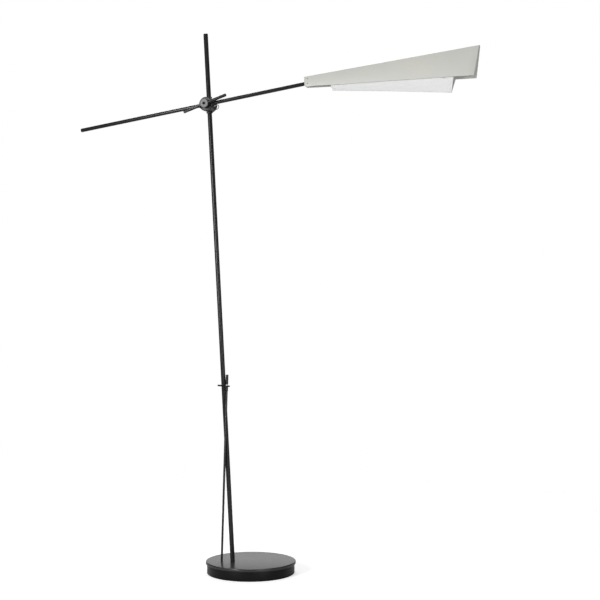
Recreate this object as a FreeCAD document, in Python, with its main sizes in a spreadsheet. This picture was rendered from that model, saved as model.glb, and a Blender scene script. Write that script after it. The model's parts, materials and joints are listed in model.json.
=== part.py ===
"""Adjustable arm floor lamp: a parametric FreeCAD model, in millimetres.

The origin is the centre of the base's underside, on the floor.  +Z is up, +X runs to the side
that carries the shade, and -Y is the front, where the clamp's T-bar is.
"""
import FreeCAD, Part
import math
import os
import re
import Sketcher

X_AXIS = FreeCAD.Vector(1, 0, 0)
Y_AXIS = FreeCAD.Vector(0, 1, 0)
Z_AXIS = FreeCAD.Vector(0, 0, 1)

# Driving dimensions: alias, value in mm or degrees, meaning.
DIMENSIONS = [
    ("base_radius", 150, "outer radius of the base's lid"),
    ("base_height", 41.5, "height of the base over the floor"),
    ("lid_rim", 9, "height of the lid's rim"),
    ("lid_plate", 3, "thickness of the lid's top plate"),
    ("lid_wall", 3.9, "thickness of the lid's rim"),
    ("ring_radius", 145.8, "outer radius of the side ring"),
    ("ring_wall", 1.8, "wall of the side ring"),
    ("pad_height", 2.5, "thickness of the floor pad"),
    ("pad_radius", 143, "radius of the floor pad"),
    ("weight_radius", 143.5, "radius of the cast weight"),
    ("weight_top", 32, "height of the weight's top"),
    ("gland_height", 16, "height of the cable gland's axis"),
    ("gland_radius", 5, "radius of the gland's stub"),
    ("pole_radius", 7.5, "outer radius of the pole"),
    ("pole_bore", 6, "inner radius of the pole"),
    ("pole_lean", 2.94, "lean of the pole from upright, degrees"),
    ("pole_foot_x", -60.8, "where the pole leaves the lid"),
    ("pole_length", 1756, "pole's length over the lid"),
    ("pole_depth", 24, "pole's length inside the base"),
    ("stem_radius", 3.6, "outer radius of the control stem"),
    ("stem_bore", 2.4, "inner radius of the control stem"),
    ("stem_lean", 1.665, "lean of the stem, towards +X, degrees"),
    ("stem_foot_x", -96.5, "where the stem leaves the lid"),
    ("stem_foot_y", -12.5, "how far the stem stands in front of the pole"),
    ("plate_height", 582, "link plate's distance up the stem"),
    ("plate_thick", 4.5, "thickness of the link plate"),
    ("plate_end", 10.2, "radius of the link plate's ends"),
    ("knob_radius", 4.5, "outer radius of the dimmer knob"),
    ("knob_length", 33, "length of the dimmer knob"),
    ("knob_gap", 3, "gap between the link plate and the knob"),
    ("dimmer_travel", 1.5, "how far the knob presses down"),
    ("hub_height", 1520.5, "hub's distance up the pole"),
    ("hub_swing", 15, "how far the arm is turned towards the front, degrees"),
    ("drum_radius", 23.5, "radius of the hub's drums"),
    ("drum_back", 16, "rear face of the rear drum, behind the pole's axis"),
    ("bush_radius", 9, "outer radius of the pole bush"),
    ("bush_half", 26.5, "half the length of the pole bush"),
    ("run_gap", 0.08, "radial clearance of a running fit"),
    ("register_front", 12.8, "front face of the rear drum's register"),
    ("drum_split", 8.5, "where the rear drum meets the swivel ring"),
    ("ring_front", 16.3, "front face of the swivel ring"),
    ("drum_front", 36, "front face of the front drum"),
    ("arm_offset", 24, "distance of the arm's axis in front of the pole's"),
    ("arm_pitch", 6.19, "rise of the arm from square to the pole, degrees"),
    ("arm_radius", 6.25, "outer radius of the arm"),
    ("arm_bore", 5, "inner radius of the arm"),
    ("arm_left", 458, "arm's length on the free side of the hub"),
    ("arm_right", 372, "arm's length on the shade's side of the hub"),
    ("sleeve_radius", 7.2, "outer radius of the arm bush"),
    ("sleeve_half", 26, "half the length of the arm bush"),
    ("screw_radius", 4, "radius of the clamp screw"),
    ("boss_front", 38, "front face of the front drum's boss"),
    ("neck_radius", 9, "radius of the clamp knob's neck"),
    ("neck_back", 38.6, "rear face of the clamp knob's neck"),
    ("head_back", 51, "rear face of the clamp knob's head"),
    ("head_front", 56, "front face of the clamp knob's head"),
    ("head_radius", 14, "radius of the clamp knob's head"),
    ("bar_offset", 45.8, "distance of the T-bar in front of the pole's axis"),
    ("bar_radius", 5, "radius of the T-bar"),
    ("bar_half", 78, "half the length of the T-bar"),
    ("bar_pitch", 16.5, "turn of the T-bar from square to the pole, degrees"),
    ("lead_radius", 1.25, "radius of the jumper lead"),
    ("shade_start", 343.4, "where the shade starts along the arm"),
    ("shade_rise", 21, "height of the shade's ridge over the arm's axis"),
    ("shade_dip", 1.55, "dip of the ridge from the arm's line, degrees"),
    ("shade_length", 573.8, "length of the shade's ridge"),
    ("shade_top", 10, "half the width of the shade's flat top"),
    ("shade_skin", 1.5, "thickness of the shade's sheet"),
    ("shade_splay", 0.231, "sideways spread of the panels for each mm of drop"),
    ("drop_start", 32.7, "drop of the panels at the narrow end"),
    ("drop_slope", 0.1129, "growth of that drop for each mm along the ridge"),
    ("shade_slant", 0.285, "cut-back of the wide end for each mm of drop"),
    ("bracket_length", 34, "length of the arm bracket"),
    ("lens_start", 86, "where the diffuser starts along the ridge"),
    ("lens_end", 482.5, "where the diffuser's upper edge ends"),
    ("lens_fold", 60.9, "depth of the diffuser's fold at its start"),
    ("lens_slope", 0.1878, "growth of the fold's depth for each mm along"),
    ("lens_slant", 0.36, "cut-back of the diffuser's wide end for each mm of drop"),
    ("lens_sheet", 2, "thickness of the diffuser's sheet"),
    ("rail_start", 60, "where the lamp rail starts along the ridge"),
    ("rail_length", 440, "length of the lamp rail"),
    ("rail_thick", 4, "thickness of the lamp rail"),
    ("board_thick", 1.6, "thickness of the lamp board"),
    ("pad_lap", 1, "how far the side ring laps the floor pad"),
    ("lid_round", 3.2, "rounding of the lid's upper edge"),
    ("lid_ease", 1, "rounding of the lid's lower edge"),
    ("lid_gap", 0.1, "radial room round the pole and the stem in the lid"),
    ("lid_tap", 1.5, "depth of the screw holes in the lid"),
    ("lid_screw", 2.5, "radius of a lid screw"),
    ("lid_screw_long", 32, "length of a lid screw's shank"),
    ("lid_screw_head", 4.25, "radius of a lid screw's head"),
    ("lid_screw_cap", 5, "height of a lid screw's head"),
    ("lid_screw_seat", 8, "height of the lid screws' seats"),
    ("weight_way", 2.7, "radius of the screw holes in the weight"),
    ("weight_sink", 4.5, "radius of the sinkings for the screws' heads"),
    ("weight_sink_deep", 5.5, "depth of those sinkings"),
    ("pit_floor", 7, "height of the floor of the driver's pit"),
    ("pit_near", 18, "where the pit starts, towards +X"),
    ("pit_far", 112, "where the pit ends"),
    ("pit_half", 34, "half the width of the pit"),
    ("notch_near", 112, "where the notch for the gland starts, towards the rear"),
    ("notch_far", 160, "where the notch ends, past the weight's edge"),
    ("notch_half", 14, "half the width of the notch"),
    ("channel_floor", 14, "height of the floor of the wiring channel"),
    ("driver_near", 22, "where the driver's case starts, towards +X"),
    ("driver_far", 108, "where the case ends"),
    ("driver_half", 28, "half the width of the case"),
    ("driver_height", 22, "height of the case"),
    ("driver_round", 2.5, "rounding of the case's upright edges"),
    ("gland_back", 130, "where the gland's hole starts, behind the centre"),
    ("gland_way", 3.2, "inner radius of the gland"),
    ("gland_deep", 12, "gland's length inside the side ring"),
    ("gland_gap", 0.05, "radial room round the gland in the side ring"),
    ("gland_flange", 8, "radius of the gland's flange"),
    ("gland_flange_thick", 2.5, "thickness of the gland's flange"),
    ("gland_nose", 6.2, "radius of the gland's nose"),
    ("gland_front", 4, "gland's length outside the side ring"),
    ("nut_corner", 8.5, "radius to the corners of the gland nut"),
    ("nut_thick", 4, "thickness of the gland nut"),
    ("nut_gap", 0.3, "gap between the nut and the side ring"),
    ("nut_room", 0.02, "radial room between the nut and the gland"),
    ("socket_wall", 3, "wall of the sockets that hold the pole and the stem"),
    ("socket_top", 4, "how far under the lid's face the sockets end"),
    ("socket_floor", 4, "thickness of the sockets' floors"),
    ("stem_depth", 22, "stem's length inside the base"),
    ("cap_thick", 3, "thickness of a tube's end cap"),
    ("cap_reach", 14, "reach of an end cap's plug"),
    ("cap_round", 1.5, "rounding of an end cap"),
    ("ferrule_length", 15, "length of the ferrule under the link plate"),
    ("ferrule_round", 0.8, "rounding of the ferrule's foot"),
    ("plate_gap", 0.45, "radial room round the pole in the link plate"),
    ("plate_round", 0.8, "rounding of the link plate's edges"),
    ("link_screw", 1.25, "radius of the link plate's grub screw"),
    ("link_screw_long", 9.5, "length of the grub screw"),
    ("link_screw_way", 14, "depth of the grub screw's hole"),
    ("link_screw_gap", 0.6, "gap between the grub screw and the pole"),
    ("link_key", 0.7, "radius of the grub screw's socket"),
    ("link_key_deep", 2, "depth of the grub screw's socket"),
    ("core_flange", 3.6, "radius of the dimmer core's foot"),
    ("core_flange_thick", 0.8, "thickness of the core's foot"),
    ("core_radius", 1.6, "radius of the dimmer core"),
    ("core_top", 9, "how far under the knob's top the core ends"),
    ("plunger_radius", 3, "outer radius of the dimmer plunger"),
    ("plunger_gap", 0.3, "gap left under the plunger when it is pressed"),
    ("plunger_top", 5, "how far under the knob's top the plunger ends"),
    ("plunger_roof", 2, "thickness of the plunger's top"),
    ("knob_roof", 4.9, "thickness of the dimmer knob's top"),
    ("knob_round", 1, "rounding of the dimmer knob's top"),
    ("fine_ease", 0.4, "bevel of small edges"),
    ("ease_size", 0.5, "bevel of ordinary edges"),
    ("flange_wide", 2, "how far the pole bush's flanges stand out"),
    ("flange_thick", 2.5, "thickness of those flanges"),
    ("register_in", 2.1, "step from the rear drum in to its register"),
    ("rear_ease", 1.6, "bevel of the rear drum"),
    ("front_ease", 1.8, "bevel of the front drum"),
    ("brake_way", 3, "radius of the brake screw's hole"),
    ("brake_radius", 2.9, "radius of the brake screw"),
    ("brake_gap", 0.6, "gap between the brake screw and the pole bush"),
    ("brake_sink", 0.8, "how far the brake screw lies in its hole"),
    ("brake_key", 1.6, "radius of the brake screw's socket"),
    ("brake_key_deep", 1.2, "depth of the brake screw's socket"),
    ("washer_bore", 5, "inner radius of the friction washer"),
    ("washer_in", 4, "how far the washer's edge lies inside the drum's"),
    ("washer_thick", 0.3, "thickness of the friction washer"),
    ("ring_in", 2, "wall of the swivel ring"),
    ("ring_lip", 3.9, "reach of the swivel ring's lip"),
    ("ring_lip_thick", 1.7, "thickness of that lip"),
    ("ring_screw", 0.9, "radius of a ring screw"),
    ("ring_screw_long", 4, "length of a ring screw's shank"),
    ("ring_screw_head", 1.6, "radius of a ring screw's head"),
    ("ring_screw_cap", 1.1, "height of a ring screw's head"),
    ("ring_screw_sink", 1.2, "depth of the ring screws' seats"),
    ("ring_screw_place", 10.6, "where the ring screws stand along the hub's axis"),
    ("face_gap", 0.4, "gap between the front drum and what is behind it"),
    ("lip_in", 2.5, "how far the front drum's lip lies inside the drum's edge"),
    ("lip_thick", 1.1, "thickness of that lip"),
    ("waist_in", 4.3, "how far the front drum's waist lies inside its edge"),
    ("boss_wall", 2, "how far the boss stands out round the knob's neck"),
    ("clamp_pad", 5, "radius of the pressure pad"),
    ("clamp_pad_thick", 1.9, "thickness of the pressure pad"),
    ("clamp_pad_gap", 0.3, "gap between the pad and the arm bush"),
    ("pad_way", 5.3, "radius of the pressure pad's bore"),
    ("pad_way_deep", 11.8, "depth of the pressure pad's bore"),
    ("collar_wide", 1.6, "how far the arm bush's collars stand out"),
    ("collar_thick", 2, "thickness of those collars"),
    ("screw_gap", 0.2, "gap between the clamp screw and the T-bar"),
    ("key_radius", 3.25, "radius of the clamp knob's socket"),
    ("key_depth", 3, "depth of the clamp knob's socket"),
    ("head_round", 0.8, "rounding of the clamp knob's face"),
    ("bar_round", 1.2, "rounding of the T-bar's ends"),
    ("grommet_root", 1.2, "wall of a grommet inside its drum"),
    ("grommet_tip", 0.5, "wall of a grommet at its nose"),
    ("grommet_rim", 0.6, "how far a grommet's wide part stands out"),
    ("shade_gap", 0.05, "gap between the shade's top and what is inside"),
    ("side_gap", 0.1, "gap between the shade's panels and what is inside"),
    ("end_plate_in", 0.5, "how far in the shade's end plate lies"),
    ("end_plate_thick", 2, "thickness of the end plate"),
    ("end_plate_foot", 0.6, "how far the end plate stays over the panels' edges"),
    ("bracket_foot", 1.2, "how far the bracket stays over the panels' edges"),
    ("shade_screw", 0.9, "radius of a shade screw"),
    ("shade_screw_long", 4.5, "length of a shade screw's shank"),
    ("shade_screw_head", 1.8, "radius of a shade screw's head"),
    ("shade_screw_cap", 0.9, "height of a shade screw's head"),
    ("board_inset", 20, "how far the board's ends lie inside the rail's"),
    ("board_half", 6, "half the width of the lamp board"),
    ("lens_lap", 2.5, "how far the diffuser reaches up between the panels"),
    ("lens_gap", 1.1, "gap between the diffuser and the panels"),
    ("lens_cap_thick", 2, "thickness of the diffuser's end pieces"),
]
CHIP_COUNT = 20
CHIP_SIZE = (3.5, 2.8, 0.7)
CHIP_INSET = 35.0
CLIP_PLACES = (130.0, 452.0)
CLIP_SIZE = (9.0, 4.2, 1.0)
CLIP_INSET = 1.6
CLIP_DROP = 1.3
SHADE_SCREW_DEPTHS = (8.0, 24.0)
SHADE_SCREW_ALONG = 11.0
WEIGHT_DRILL_LENGTH = 100
WEIGHT_DRILL_START = -28
# The wiring channel's outline in the weight, seen from above: driver to gland to pole and stem.
CHANNEL_CORNERS = [(6, 60), (18, 20), (30, 20), (14, 120), (-14, 120), (-90, 10), (-70, 8)]
# How far a slanted cut reaches over its start, under it and past the body's end.
CUT_ABOVE = 10
CUT_BELOW = 200
CUT_PAST = 150
LID_SCREW_RADIUS_AT = 95.0
LID_SCREW_TURNS = (90, 210, 330)
RING_SCREW_TURNS = (30, 150, 270)
OVERCUT = 60.0

doc = FreeCAD.newDocument("adjustable_arm_floor_lamp")
sheet = doc.addObject("Spreadsheet::Sheet", "dims")
for row, (alias, size, meaning) in enumerate(DIMENSIONS, start=1):
    sheet.set(f"A{row}", meaning)
    sheet.set(f"B{row}", str(size))
    sheet.setAlias(f"B{row}", alias)
doc.recompute()
ALIASES = {alias for alias, _, _ in DIMENSIONS}
NODES = {}


# ---------------------------------------------------------------- expressions and placements

def value(expression):
    """The number that an expression in the sheet's aliases comes to."""
    return float(sheet.evalExpression(str(expression)))


def link(expression):
    """The same expression, as another object has to write it."""
    return re.sub(r"[a-z_]+", lambda word: qualified(word.group()), str(expression))


def qualified(word):
    return "dims." + word if word in ALIASES else word


def bind(thing, prop, expression):
    thing.setExpression(prop, link(expression))


def frame(origin, x_axis, z_axis):
    """A placement whose X and Z axes point the given ways."""
    y_axis = z_axis.cross(x_axis)
    return FreeCAD.Placement(origin, FreeCAD.Rotation(x_axis, y_axis, z_axis, "XYZ"))


def turned_about_z(base, degrees):
    return base.multiply(FreeCAD.Placement(FreeCAD.Vector(), FreeCAD.Rotation(Z_AXIS, degrees)))


def moved(base, x=0.0, y=0.0, z=0.0):
    return base.multiply(FreeCAD.Placement(FreeCAD.Vector(x, y, z), FreeCAD.Rotation()))


def leaning_axis(degrees):
    """A unit vector that leans from upright towards -X."""
    lean = math.radians(degrees)
    return FreeCAD.Vector(-math.sin(lean), 0, math.cos(lean))


def pole_frame():
    up = leaning_axis(value("pole_lean"))
    foot = FreeCAD.Vector(value("pole_foot_x"), 0, value("base_height"))
    return frame(foot, Y_AXIS.cross(up), up)


def stem_frame():
    up = leaning_axis(-value("stem_lean"))
    foot = FreeCAD.Vector(value("stem_foot_x"), value("stem_foot_y"), value("base_height"))
    return frame(foot, Y_AXIS.cross(up), up)


def clamp_frame():
    """Centre of the hub: X square to the pole, Y up the pole, Z out of the hub's front."""
    pole = pole_frame()
    up = pole.Rotation.multVec(Z_AXIS)
    swing = math.radians(value("hub_swing"))
    heading = FreeCAD.Vector(math.cos(swing), -math.sin(swing), 0)
    front = heading.cross(up).normalize()
    return frame(pole.multVec(Z_AXIS * value("hub_height")), up.cross(front), front)


def shade_frame():
    """Start of the shade's ridge: X along the ridge, Y to the rear, Z square to the top."""
    start = FreeCAD.Vector(value("shade_start"), value("shade_rise"), value("arm_offset"))
    dip = -math.radians(value("shade_dip"))
    ridge = TILT.Rotation.multVec(FreeCAD.Vector(math.cos(dip), math.sin(dip), 0))
    front = TILT.Rotation.multVec(Z_AXIS)
    return frame(TILT.multVec(start), ridge, ridge.cross(-front))


STAND = FreeCAD.Placement()
POLE = pole_frame()
STEM = stem_frame()
PLATE = moved(STEM, z=value("plate_height"))
CLAMP = clamp_frame()
HUB = frame(CLAMP.Base, CLAMP.Rotation.multVec(X_AXIS), CLAMP.Rotation.multVec(Y_AXIS))
TILT = turned_about_z(CLAMP, value("arm_pitch"))
BAR = turned_about_z(CLAMP, value("bar_pitch"))
ARM = frame(
    TILT.multVec(Z_AXIS * value("arm_offset")),
    TILT.Rotation.multVec(Y_AXIS),
    TILT.Rotation.multVec(X_AXIS),
)
SHADE = shade_frame()


# ---------------------------------------------------------------- sketches and features

def new_body(label, placement):
    body = doc.addObject("PartDesign::Body", label)
    body.Label = label
    body.Placement = placement
    NODES[label] = body
    return body


def sketch_on(body, role, offset=0):
    """An empty sketch on one of the body's own origin planes, moved along its normal."""
    sketch = body.newObject("Sketcher::SketchObject", body.Name + "_sketch")
    plane = next(item for item in body.Origin.OriginFeatures if item.Role == role)
    sketch.AttachmentSupport = [(plane, "")]
    sketch.MapMode = "FlatFace"
    bind(sketch, "AttachmentOffset.Base.z", offset)
    return sketch


def pin_point(sketch, geometry, point, x, y):
    """Holds a point of the sketch at expressions for its x and y."""
    for kind, expression in (("DistanceX", x), ("DistanceY", y)):
        rule = Sketcher.Constraint(kind, -1, 1, geometry, point, value(expression))
        bind(sketch, f"Constraints[{sketch.addConstraint(rule)}]", expression)


def add_outline(sketch, points):
    """A closed outline of straight edges through (x, y) expressions."""
    corners = [FreeCAD.Vector(value(x), value(y), 0) for x, y in points]
    first = sketch.GeometryCount
    for here, after in zip(corners, corners[1:] + corners[:1]):
        sketch.addGeometry(Part.LineSegment(here, after))
    for index, (x, y) in enumerate(points):
        following = first + (index + 1) % len(points)
        sketch.addConstraint(Sketcher.Constraint("Coincident", first + index, 2, following, 1))
        pin_point(sketch, first + index, 1, x, y)


def add_circle(sketch, radius, x=0, y=0):
    centre = FreeCAD.Vector(value(x), value(y), 0)
    index = sketch.addGeometry(Part.Circle(centre, Z_AXIS, value(radius)))
    rule = sketch.addConstraint(Sketcher.Constraint("Radius", index, value(radius)))
    bind(sketch, f"Constraints[{rule}]", radius)
    pin_point(sketch, index, 3, x, y)


def revolve(body, profile, cut=False):
    """Turns an (r, z) outline about the body's Z axis."""
    sketch = sketch_on(body, "XZ_Plane")
    add_outline(sketch, profile)
    kind = "Groove" if cut else "Revolution"
    feature = body.newObject("PartDesign::" + kind, body.Name + "_" + kind)
    feature.Profile = sketch
    feature.ReferenceAxis = (sketch, ["V_Axis"])
    return feature


def pad(body, sketch, length, centred=False):
    feature = body.newObject("PartDesign::Pad", body.Name + "_pad")
    feature.Profile = sketch
    feature.Midplane = centred
    bind(feature, "Length", length)
    return feature


def pocket(body, sketch, length, centred=False, upward=False):
    """Cuts a sketch into the body, and checks that it took something away."""
    doc.recompute()
    before = body.Shape.Volume
    feature = body.newObject("PartDesign::Pocket", body.Name + "_pocket")
    feature.Profile = sketch
    feature.Midplane = centred
    feature.Reversed = upward
    bind(feature, "Length", length)
    doc.recompute()
    if body.Shape.Volume > before - 0.1:
        raise RuntimeError(f"{body.Label}: a pocket cut nothing")
    return feature


def bore(body, role, radius, length, offset=0, x=0, y=0, centred=True, upward=False):
    """A round hole in the body, square to one of its origin planes."""
    sketch = sketch_on(body, role, offset)
    add_circle(sketch, radius, x, y)
    return pocket(body, sketch, length, centred, upward)


def ease(body, kind, size, chosen):
    """Rounds (Fillet) or bevels (Chamfer) the edges that a test picks from the body's shape."""
    doc.recompute()
    tip = body.Tip
    edges = [f"Edge{number}" for number, edge in enumerate(tip.Shape.Edges, start=1) if chosen(edge)]
    if not edges:
        raise RuntimeError(f"{body.Label}: no edge to ease")
    feature = body.newObject("PartDesign::" + kind, body.Name + "_" + kind)
    feature.Base = (tip, edges)
    bind(feature, "Radius" if kind == "Fillet" else "Size", size)
    return feature


def rim_at(radius, z):
    """A test for the full circle of that radius, about the body's Z axis, at that height."""
    wanted_radius = value(radius)
    wanted_z = value(z)

    def test(edge):
        if not isinstance(edge.Curve, Part.Circle):
            return False
        centre = edge.Curve.Center
        same_size = abs(edge.Curve.Radius - wanted_radius) < 0.01
        return same_size and abs(centre.z - wanted_z) < 0.01 and math.hypot(centre.x, centre.y) < 0.01

    return test


def turned(label, placement, profile):
    """A sub-part that is one outline turned about its Z axis."""
    body = new_body(label, placement)
    revolve(body, profile)
    return body


def washer_profile(inner, outer, low, high):
    return [(inner, low), (outer, low), (outer, high), (inner, high)]


def rod(name, radius, length, x=0, y=0, z=0):
    """A cylinder that a boolean or a group uses, with bound sizes."""
    cylinder = doc.addObject("Part::Cylinder", name)
    bind(cylinder, "Radius", radius)
    bind(cylinder, "Height", length)
    for axis, place in (("x", x), ("y", y), ("z", z)):
        bind(cylinder, "Placement.Base." + axis, place)
    return cylinder


def cap_screw(name, shank, shank_length, head, head_length, placement):
    """A socket screw whose head sits at z = 0 and whose shank points along +Z."""
    key = rod(name + "_key", f"{shank}*0.5", f"{head_length}*0.6", z=f"-{head_length}")
    body = rod(name + "_head", head, head_length, z=f"-{head_length}")
    whole = doc.addObject("Part::Fuse", name + "_blank")
    whole.Base = body
    whole.Tool = rod(name + "_shank", shank, shank_length)
    screw = doc.addObject("Part::Cut", name)
    screw.Base = whole
    screw.Tool = key
    screw.Placement = placement
    return screw


def group(label, members):
    """Identical small pieces that share one node, each still a solid of its own."""
    compound = doc.addObject("Part::Compound", label)
    compound.Links = members
    compound.Label = label
    NODES[label] = compound


def on_circle(placement, radius, degrees, z, inward=False):
    """A place at that radius and turn; its Z axis points up, or in towards the axis."""
    turn = math.radians(degrees)
    out = FreeCAD.Vector(math.cos(turn), math.sin(turn), 0)
    spot = out * radius + Z_AXIS * z
    local = frame(spot, Z_AXIS, -out) if inward else FreeCAD.Placement(spot, FreeCAD.Rotation())
    return placement.multiply(local)


# ---------------------------------------------------------------- base

def build_base():
    turned("floor_pad", STAND, washer_profile(0, "pad_radius", 0, "pad_height"))
    ring_low = "pad_height - pad_lap"
    ring = turned(
        "base_ring",
        STAND,
        washer_profile("ring_radius - ring_wall", "ring_radius", ring_low, "base_height - lid_plate"),
    )
    bore(ring, "XZ_Plane", "gland_radius", OVERCUT, "-gland_back", 0, "gland_height", False, False)
    build_lid()
    build_weight()
    screws = []
    for number, turn in enumerate(LID_SCREW_TURNS):
        place = on_circle(STAND, LID_SCREW_RADIUS_AT, turn, value("lid_screw_seat"))
        screws.append(cap_screw(
            f"lid_screw_{number}",
            "lid_screw", "lid_screw_long", "lid_screw_head", "lid_screw_cap", place,
        ))
    group("lid_screws", screws)
    build_driver()
    build_gland()


def build_lid():
    low = "base_height - lid_rim"
    under = "base_height - lid_plate"
    inner = "base_radius - lid_wall"
    lid = turned("base_lid", STAND, [
        (0, under), (inner, under), (inner, low), ("base_radius", low),
        ("base_radius", "base_height"), (0, "base_height"),
    ])
    ease(lid, "Fillet", "lid_round", rim_at("base_radius", "base_height"))
    ease(lid, "Fillet", "lid_ease", rim_at("base_radius", low))
    drill_leaning(lid, POLE, "pole_radius + lid_gap")
    drill_leaning(lid, STEM, "stem_radius + lid_gap")
    for turn in LID_SCREW_TURNS:
        x, y = round_spot(turn)
        bore(lid, "XY_Plane", "lid_screw", "lid_tap", under, x, y, False, True)


def round_spot(turn):
    """Where a lid screw stands, as expressions for its x and y."""
    angle = math.radians(turn)
    return (
        f"{LID_SCREW_RADIUS_AT * math.cos(angle):.4f}",
        f"{LID_SCREW_RADIUS_AT * math.sin(angle):.4f}",
    )


def drill_leaning(body, placement, radius, depth=OVERCUT, start=-OVERCUT / 2):
    """A hole through an upright body along a leaning rod's axis."""
    sketch = body.newObject("Sketcher::SketchObject", body.Name + "_leaning")
    sketch.MapMode = "Deactivated"
    sketch.Placement = moved(placement, z=start)
    add_circle(sketch, radius)
    return pocket(body, sketch, depth, False, True)


def build_weight():
    """The cast disc that keeps the lamp upright, with a pit for the driver."""
    low = "pad_height"
    weight = turned("base_weight", STAND, washer_profile(0, "weight_radius", low, "weight_top"))
    pit = sketch_on(weight, "XY_Plane", "pit_floor")
    add_outline(pit, [
        ("pit_near", "-pit_half"), ("pit_far", "-pit_half"), ("pit_far", "pit_half"),
        ("pit_near", "pit_half"),
    ])
    pocket(weight, pit, OVERCUT, False, True)
    notch = sketch_on(weight, "XY_Plane", low)
    add_outline(notch, [
        ("-notch_half", "notch_near"), ("notch_half", "notch_near"), ("notch_half", "notch_far"),
        ("-notch_half", "notch_far"),
    ])
    pocket(weight, notch, OVERCUT, False, True)
    channel = sketch_on(weight, "XY_Plane", "channel_floor")
    add_outline(channel, CHANNEL_CORNERS)
    pocket(weight, channel, OVERCUT, False, True)
    for place, radius in ((POLE, "pole_radius + socket_wall"), (STEM, "stem_radius + socket_wall")):
        drill_leaning(weight, place, radius, WEIGHT_DRILL_LENGTH, WEIGHT_DRILL_START)
    for turn in LID_SCREW_TURNS:
        x, y = round_spot(turn)
        bore(weight, "XY_Plane", "weight_way", OVERCUT, low, x, y, False, True)
        bore(weight, "XY_Plane", "weight_sink", "weight_sink_deep", low, x, y, False, True)


def build_driver():
    """Constant-current driver that lies in the weight's pit."""
    driver = new_body("led_driver", STAND)
    case = sketch_on(driver, "XY_Plane", "pit_floor")
    add_outline(case, [
        ("driver_near", "-driver_half"), ("driver_far", "-driver_half"),
        ("driver_far", "driver_half"), ("driver_near", "driver_half"),
    ])
    pad(driver, case, "driver_height")
    ease(driver, "Fillet", "driver_round", is_upright)


def is_upright(edge):
    return abs(edge.tangentAt(edge.FirstParameter).z) > 0.99


def build_gland():
    """Cord inlet at the rear of the side ring, and the nut that holds it."""
    centre = FreeCAD.Vector(0, value("ring_radius"), value("gland_height"))
    place = frame(centre, X_AXIS, Y_AXIS)
    turned("cable_gland", place, [
        ("gland_way", "-gland_deep"), ("gland_radius - gland_gap", "-gland_deep"),
        ("gland_radius - gland_gap", 0), ("gland_flange", 0),
        ("gland_flange", "gland_flange_thick"), ("gland_nose", "gland_front"),
        ("gland_way", "gland_front"),
    ])
    nut = new_body("gland_nut", place)
    outline = sketch_on(nut, "XY_Plane", "-ring_wall - nut_thick - nut_gap")
    corners = [math.radians(60 * side) for side in range(6)]
    size = value("nut_corner")
    add_outline(outline, [(f"{size * math.cos(a):.4f}", f"{size * math.sin(a):.4f}") for a in corners])
    add_circle(outline, "gland_radius + nut_room")
    pad(nut, outline, "nut_thick")


# ---------------------------------------------------------------- pole, control stem and dimmer

def build_pole():
    low = "-pole_depth"
    foot = "-pole_depth - socket_floor"
    top = "pole_length + cap_thick"
    plug = "pole_length - cap_reach"
    turned("pole", POLE, washer_profile("pole_bore", "pole_radius", low, "pole_length"))
    turned("pole_socket", POLE, [
        (0, foot), ("pole_radius + socket_wall", foot), ("pole_radius + socket_wall", "-socket_top"),
        ("pole_radius", "-socket_top"), ("pole_radius", low), (0, low),
    ])
    cap = turned("pole_cap", POLE, [
        (0, plug), ("pole_bore", plug), ("pole_bore", "pole_length"),
        ("pole_radius", "pole_length"), ("pole_radius", top), (0, top),
    ])
    ease(cap, "Fillet", "cap_round", rim_at("pole_radius", top))


def build_stem():
    low = "-stem_depth"
    foot = "-stem_depth - socket_floor"
    plate_under = "plate_height - plate_thick/2"
    ferrule_low = f"{plate_under} - ferrule_length"
    turned("stem_socket", STEM, [
        (0, foot), ("stem_radius + socket_wall", foot), ("stem_radius + socket_wall", "-socket_top"),
        ("stem_radius", "-socket_top"), ("stem_radius", low), (0, low),
    ])
    top = "plate_height + plate_thick/2"
    turned("control_stem", STEM, washer_profile("stem_bore", "stem_radius", low, top))
    ferrule = turned(
        "stem_ferrule", STEM,
        washer_profile("stem_radius", "knob_radius", ferrule_low, plate_under),
    )
    ease(ferrule, "Fillet", "ferrule_round", rim_at("knob_radius", ferrule_low))


def build_link_plate():
    """The plate that ties the stem to the pole; the pole passes through its middle."""
    height = value("plate_height")
    toward_pole = STEM.inverse().multVec(pole_point_at_plate())
    reach = math.hypot(toward_pole.x, toward_pole.y)
    turn = math.degrees(math.atan2(toward_pole.y, toward_pole.x))
    place = turned_about_z(moved(STEM, z=height), turn)
    body = new_body("link_plate", place)
    outline = sketch_on(body, "XY_Plane", "-plate_thick/2")
    add_slot(outline, 0, 2 * reach, "plate_end")
    pad(body, outline, "plate_thick")
    bore(body, "XY_Plane", "stem_radius", OVERCUT)
    bore(body, "XY_Plane", "pole_radius + plate_gap", OVERCUT, 0, reach)
    bore(body, "YZ_Plane", "link_screw", "link_screw_way", f"{reach} + pole_radius", 0, 0, False, True)
    ease(body, "Fillet", "plate_round", lambda edge: edge.Length > 1.5 * reach)
    screw = new_body("link_screw", place)
    screw_start = FreeCAD.Vector(reach + value("pole_radius + link_screw_gap"), 0, 0)
    screw.Placement = frame(
        place.multVec(screw_start),
        place.Rotation.multVec(Z_AXIS),
        place.Rotation.multVec(X_AXIS),
    )
    key_floor = "link_screw_long - link_key_deep"
    revolve(screw, [
        (0, 0), ("link_screw", 0), ("link_screw", "link_screw_long"), ("link_key", "link_screw_long"),
        ("link_key", key_floor), (0, key_floor),
    ])


def pole_point_at_plate():
    """Where the pole's axis crosses the link plate's middle plane."""
    normal = STEM.Rotation.multVec(Z_AXIS)
    centre = PLATE.Base
    along = POLE.Rotation.multVec(Z_AXIS)
    travel = (centre - POLE.Base).dot(normal) / along.dot(normal)
    return POLE.Base + along * travel


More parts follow.
